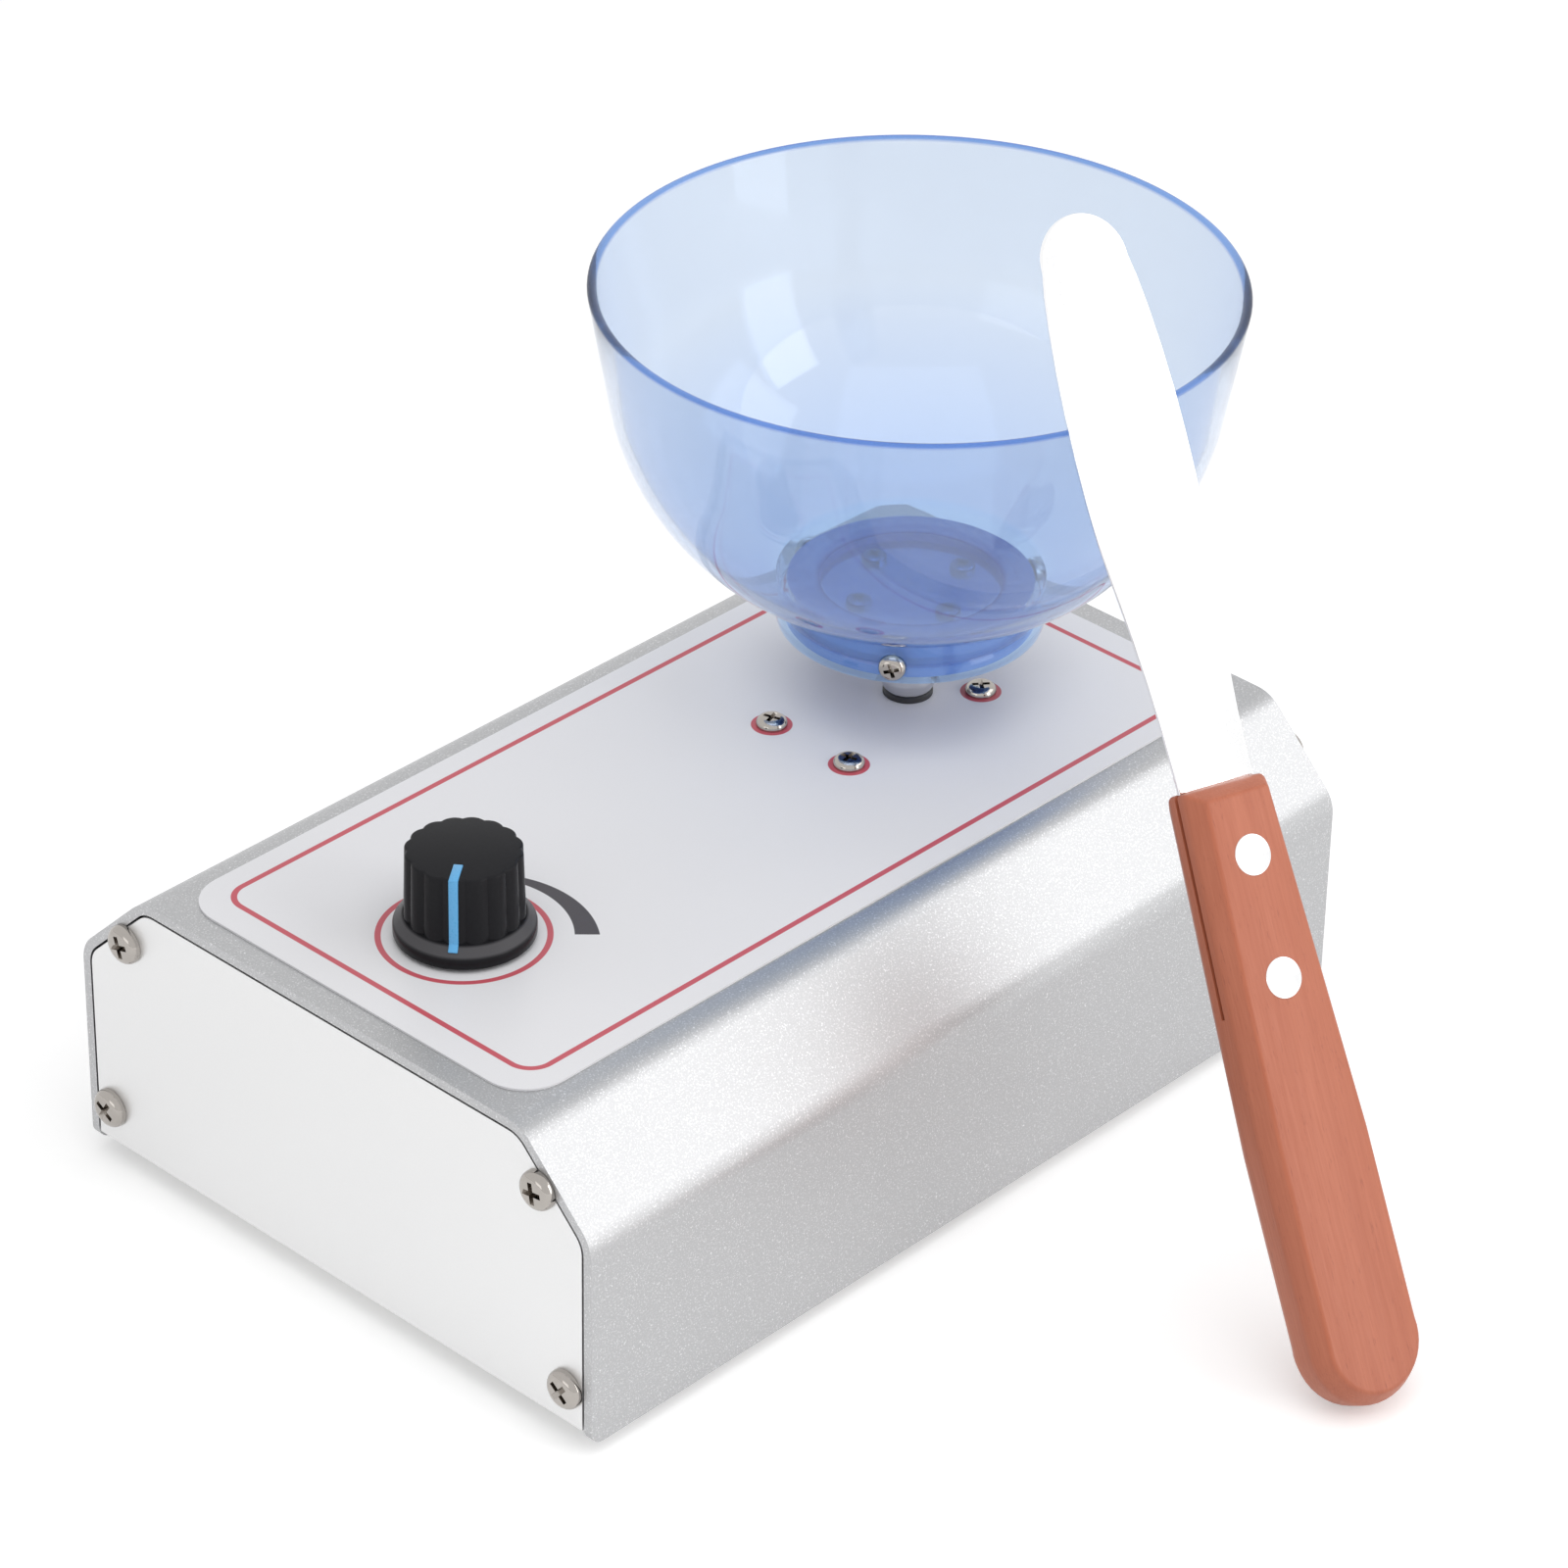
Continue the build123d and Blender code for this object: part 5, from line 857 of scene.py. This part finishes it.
def screw_set(name, screw, places, body, stands_for):
    """One piece made of a screw at each place; each is turned a little further than the last."""
    group = bmesh.new()
    for i, place in enumerate(places):
        add_copy(group, screw, place @ Matrix.Rotation(radians(17 + 41 * i), 4, "Z"))
    screw.free()
    finish_piece(group, name, "bright_nickel", body, "nickel_steel", stands_for, crease=30)


def on_end(x, y, z):
    """A place on an end face, with its own Z pointing away from the case."""
    facing = 1 if y > 0 else -1
    return placement((x, y, z), (-facing, 0, 0), (0, 0, 1), (0, facing, 0))


panel_top, plate_face = panel_high[2], 106.0
inlet_x, inlet_z, inlet_face = -36.0, 33.0, plate_face + 2.5
screw_set("panel_cross_screws", pan_screw(6.4, 1.8, 3.5, 6.9),
          [Matrix.Translation((x, y, panel_top)) for x, y in screw_spots], "case",
          "panel_screws")
screw_set("end_cross_screws", pan_screw(8.2, 2.3, 4.0, 14.0),
          [on_end(sx * x, y, z) for y in (-plate_face, plate_face) for sx in (-1, 1)
           for x, z in ((56.7, 55.4), (63.5, 13.4))], "case", "end_plate_screws")
screw_set("bowl_cross_screws", pan_screw(5.6, 1.9, 3.0, 6.4),
          [Matrix.Translation((0, shaft_y, 0)) @ place for place in ring_places(seat_r)],
          "spinner", "bowl_screws")
screw_set("inlet_cross_screws", pan_screw(5.6, 2.0, 3.0, 7.0),
          [on_end(inlet_x + s * 20, inlet_face, inlet_z) for s in (-1, 1)], "case",
          "inlet_screws")

# %% [markdown]
# The knob has a plain skirt with a bevelled shoulder and a fluted grip above it. The grip's
# outline is a ring of sixteen shallow lobes. One lobe is an arc spun from a vertex, and the
# ring is that arc spun round again as copies. The grip narrows a little towards the top, and
# a small bevel round its upper edge gives the thin bright line that gloss plastic shows.

# %% Knob: skirt and grip
knob_bottom, knob_top = panel_top + 0.8, panel_top + 19.2
skirt_top, shoulder_top, hollow_top = panel_top + 3.2, panel_top + 5.2, panel_top + 4.2
skirt_r, hollow_r = 13.8, 7.2
knob_turn = Matrix.Rotation(radians(-54), 4, "Z")
lobes, lobe_r, grip_r, grip_top_r = 16, 3.4, 11.8, 11.4

knob = lathe(96, (0, hollow_top), (hollow_r, hollow_top), (hollow_r, knob_bottom),
             (skirt_r, knob_bottom), (skirt_r, skirt_top), (grip_r + 0.05, shoulder_top),
             (0, shoulder_top))
round_rings(knob, 0.35, 3, (skirt_r, skirt_top))
round_rings(knob, 0.3, 2, (skirt_r, knob_bottom))

lobe_centre, half_pitch, grip_low = grip_r - lobe_r, pi / lobes, shoulder_top - 0.3
valley = lobe_centre * cos(half_pitch) + sqrt(lobe_r**2 - (lobe_centre * sin(half_pitch)) ** 2)
valley_x, valley_y = valley * cos(half_pitch), valley * sin(half_pitch)
grip = bmesh.new()
first = grip.verts.new((valley_x, -valley_y, grip_low))
sweep_arc(grip, first, (lobe_centre, 0, grip_low), 2 * atan2(valley_y, valley_x - lobe_centre),
          7, axis=(0, 0, 1))
bmesh.ops.spin(grip, geom=grip.verts[:] + grip.edges[:], cent=(0, 0, 0), axis=(0, 0, 1),
               angle=2 * pi * (lobes - 1) / lobes, steps=lobes - 1, use_duplicate=True)
merge_doubles(grip, 0.01)
top_verts = thicken(grip, (0, 0, knob_top - grip_low))
bmesh.ops.scale(grip, vec=(grip_top_r / grip_r, grip_top_r / grip_r, 1), verts=top_verts)
top_edges = [e for e in grip.edges if all(abs(v.co.z - knob_top) < 0.01 for v in e.verts)]
round_edges(grip, top_edges, 0.45)
print("knob valley radius:", round(valley, 2), "outline vertices:", len(top_verts))
add_copy(knob, grip, knob_turn)
grip.free()
move(knob, (0, knob_y, 0))
finish_piece(knob, "knob_moulding", "black_gloss_plastic", "dial", "black_plastic",
             "speed_knob", crease=32)

# %% [markdown]
# The pointer is one flat blue strip that runs over the top of the knob, down a flute and out
# onto the skirt. Its side view is a closed outline; the outline is filled, given the strip's
# width and bevelled so that its edges are not razor sharp.

# %% Knob pointer
proud, reach_in, depth_in, half_strip, foot_in = 0.25, 5.6, 1.0, 0.9, 0.9
foot_r = skirt_r - foot_in
foot_z = skirt_top + foot_in * (shoulder_top - skirt_top) / (skirt_r - grip_r)
over = [(grip_top_r, knob_top), (grip_r, shoulder_top), (foot_r, foot_z)]
side_view = ([(grip_top_r - reach_in, knob_top + proud)]
             + [(r + proud, z + proud) for r, z in over]
             + [(r - depth_in, z - depth_in) for r, z in reversed(over)]
             + [(grip_top_r - reach_in, knob_top - depth_in)])
strip = bmesh.new()
outline = path_points(strip, [(r, -half_strip, z) for r, z in side_view])
strip.edges.new((outline[-1], outline[0]))
thicken(strip, (0, 2 * half_strip, 0))
round_edges(strip, strip.edges[:], 0.12, 2)
bmesh.ops.transform(strip, matrix=knob_turn, verts=strip.verts[:])
move(strip, (0, knob_y, 0))
finish_piece(strip, "knob_pointer_strip", "blue_pointer_plastic", "dial", "blue_pointer",
             "knob_pointer")

# %% [markdown]
# The spatula's handle is a flat bar with straight sides, a narrower upper half and a round
# butt. Both faces are bevelled wide towards the edges, as a spokeshave leaves them. The
# outline is drawn for one half and mirrored, filled and thickened; the wide bevels come from
# an inset that also moves outwards, and a last small bevel softens every edge by hand wear. A
# saw cut at the top takes the blade's tang.

# %% Spatula handle
handle_length, blade_reach = 120.0, 230.0
half_top, half_butt, taper, round_length = 9.3, 12.2, 69.0, 14.0
thickness, bevel_in, bevel_deep, tang_length = 13.0, 2.2, 3.8, 42.8
down_slope = cos(lean) * cos(twist)
butt = -((spatula_origin.z - thickness / 2 * sin(lean) - 0.1) / down_slope + bevel_in)
handle_end, blade_end = butt + handle_length, butt + blade_reach
core = thickness / 2 - bevel_deep
# The butt's arc goes through its two corners and its end.
butt_r = (half_butt**2 + round_length**2) / (2 * round_length)
butt_turn = acos(max(-1.0, min(1.0, (butt_r - round_length) / butt_r)))

handle = bmesh.new()
chain = path_points(handle, [(0, handle_end, -core), (half_top, handle_end, -core),
                             (half_butt, handle_end - taper, -core),
                             (half_butt, butt + round_length, -core)])
sweep_arc(handle, chain[-1], (0, butt + butt_r, -core), -butt_turn, 12, axis=(0, 0, 1))
mirror_and_thicken(handle, 2 * core)
for side in (-1, 1):
    wide = [f for f in handle.faces if f.normal.z * side > 0.9]
    bmesh.ops.inset_region(handle, faces=wide, thickness=bevel_in, depth=bevel_deep,
                           use_even_offset=True)
long_edges = [e for e in handle.edges if e.is_manifold and e.calc_face_angle(0) > radians(14)]
round_edges(handle, long_edges, 0.7)
print("handle from", round(butt, 1), "to", round(handle_end, 1))

saw = bmesh.new()
bmesh.ops.create_cube(saw, size=1.0)
bmesh.ops.scale(saw, vec=(40, tang_length, blade_thick), verts=saw.verts[:])
move(saw, (0, handle_end - tang_length / 2 + 0.02, 0))
handle = cut_out(handle, saw)
bmesh.ops.transform(handle, matrix=spatula_place, verts=handle.verts[:])
finish_piece(handle, "handle_bar", "red_hardwood", "spatula", "red_wood", "spatula_handle",
             crease=38)

# %% [markdown]
# The blade is a flat spring-steel leaf that leaves the handle narrow, swells, and ends in a
# round tip, with a square tang in the saw cut. Its half outline is a chain of stations and
# one arc for the tip. It is mirrored, filled, given its thickness and bevelled all round,
# because a mixing blade is polished until it has no sharp arris.

# %% Spatula blade and rivets
half_tang, tip_r = 7.5, 9.7
stations = ((0, 8.5), (6, 8.58), (13, 8.8), (22, 9.4), (31, 10.2), (37, 10.9), (42, 11.5),
            (49, 12.2), (57, 12.6), (65, 12.72), (74, 12.6), (82, 12.15), (90, 11.4))
half_outline = ([(0, handle_end - tang_length), (half_tang, handle_end - tang_length),
                 (half_tang, handle_end)]
                + [(half, handle_end + y) for y, half in stations]
                + [(10.55, blade_end - tip_r - 4.2), (tip_r, blade_end - tip_r)])
blade = bmesh.new()
chain = path_points(blade, [(x, y, -blade_thick / 2) for x, y in half_outline])
sweep_arc(blade, chain[-1], (0, blade_end - tip_r, -blade_thick / 2), pi / 2, 12, axis=(0, 0, 1))
mirror_and_thicken(blade, blade_thick)
arris = [e for e in blade.edges if e.is_manifold and e.calc_face_angle(0) > radians(60)
         and abs(e.verts[0].co.z - e.verts[1].co.z) < 0.01]
round_edges(blade, arris, 0.3)
bmesh.ops.transform(blade, matrix=spatula_place, verts=blade.verts[:])
finish_piece(blade, "blade_leaf", "polished_blade", "spatula", "polished_steel",
             "spatula_blade", crease=40)

rivets, rivet_r, rivet_top = bmesh.new(), 4.0, thickness / 2 + 0.3
rivet = lathe(48, (0, rivet_top), (rivet_r, rivet_top), (rivet_r, -rivet_top), (0, -rivet_top))
round_rings(rivet, 0.3, 3, (rivet_r, rivet_top), (rivet_r, -rivet_top))
for distance in (14.0, 37.7):
    add_copy(rivets, rivet, spatula_place @ Matrix.Translation((0, handle_end - distance, 0)))
rivet.free()
finish_piece(rivets, "handle_rivets", "polished_blade", "spatula", "polished_steel",
             "spatula_rivets", crease=40)

# %% [markdown]
# Four rubber feet are screwed under the base. Each is a short moulded drum with a rounded
# lower edge and a hollow for the screw head. The section is spun, its edges are rounded, and
# the finished foot is copied to the four corners.

# %% Rubber feet
foot_low, foot_high = (v[2] for v in node_box("rubber_feet"))
foot_r, head_r, hole_r, seat = 9.0, 4.4, 2.0, foot_high - 2.6
foot_shape = lathe(56, (hole_r, foot_high), (foot_r - 0.6, foot_high), (foot_r, foot_low),
                   (head_r, foot_low), (head_r, seat), (hole_r, seat), (hole_r, foot_high))
round_rings(foot_shape, 0.9, 3, (foot_r, foot_low))
round_rings(foot_shape, 0.3, 2, (head_r, foot_low))
feet, foot_x, foot_y = bmesh.new(), 50, 85
for x in (-foot_x, foot_x):
    for y in (-foot_y, foot_y):
        add_copy(feet, foot_shape, Matrix.Translation((x, y, 0)))
foot_shape.free()
finish_piece(feet, "moulded_feet", "foot_rubber", "case", "rubber", "rubber_feet")

# %% [markdown]
# The background is a plain pale floor that reads as white paper, with the soft shadow of the
# object on it. The floor is a large disc. Its colour is pale, and for the camera it glows a
# little, so that it reaches white without more light on the object. The world is white to the
# camera, to reflections and to clear plastic, and gives a plainer grey light to everything
# else.

# %% Floor and world
disc = bmesh.new()
bmesh.ops.create_circle(disc, cap_ends=True, segments=96, radius=4.0)
floor = add_object("floor", take_mesh(disc, "floor"))
shader, where = new_finish("pale_floor", Roughness=0.9, Specular_IOR_Level=0.1,
                           Base_Color=(0.82, 0.82, 0.82))
tree = shader.id_data
looks = ("Camera", "Glossy", "Transmission")
near_edge, fade, near_glow, far_glow = 500.0, 1200.0, 0.36, 0.28
# Far out, where the lamps don't reach, the floor glows more, so that it stays white.
away = calc("LENGTH", where, kind="VectorMath", output="Value")
strength = ((away - near_edge) / fade).clamped() * far_glow + near_glow
glow = add_node(tree, "Emission", Color=(1, 1, 1), Strength=ray_is(tree, *looks) * strength)
join_shaders("AddShader", shader, glow)
floor.data.materials.append(finishes["pale_floor"])

world = bpy.data.worlds.new("studio")
world.use_nodes = True
bpy.context.scene.world = world
background = world.node_tree.nodes["Background"]
seen = ray_is(world.node_tree, *looks)
put(background.inputs["Color"], (1, 1, 1))
put(background.inputs["Strength"], (1.0 - seen) * 0.48 + seen)

# %% [markdown]
# Four soft boxes light the object at a plain level: a large one overhead, a key from behind
# on the right that makes the chamfer bright, a tall one low on the right that draws the streak
# inside the bowl, and a weak one in front for the end plate. They are wide, so the shadows
# stay faint. The overhead box stays out of reflections, or its square would show in the bowl.

# %% Lamps
for name, place, aim, (wide, tall), watts in (
    ("overhead", (0.3, -0.3, 1.35), (0, 0, 0), (1.3, 1.3), 8.5),
    ("key", (0.92, 1.05, 1.0), (0.05, 0, 0.05), (1.0, 0.9), 4.1),
    ("side", (1.25, 0.32, 0.42), (0, 0.05, 0.12), (0.5, 1.1), 4.5),
    ("front", (0.05, -1.35, 0.42), (0, 0.05, 0.12), (0.75, 0.45), 0.9),
):
    lamp = bpy.data.lights.new(name, "AREA")
    lamp.shape, lamp.size, lamp.size_y, lamp.energy = "RECTANGLE", wide, tall, watts
    box = add_object(name, lamp)
    box.location = place
    box.rotation_mode = "QUATERNION"
    box.rotation_quaternion = (Vector(aim) - Vector(place)).to_track_quat("-Z", "Y")
    box.visible_glossy = name != "overhead"
    print(name, "lamp:", watts, "W")

bpy.context.scene.view_settings.view_transform = "Standard"
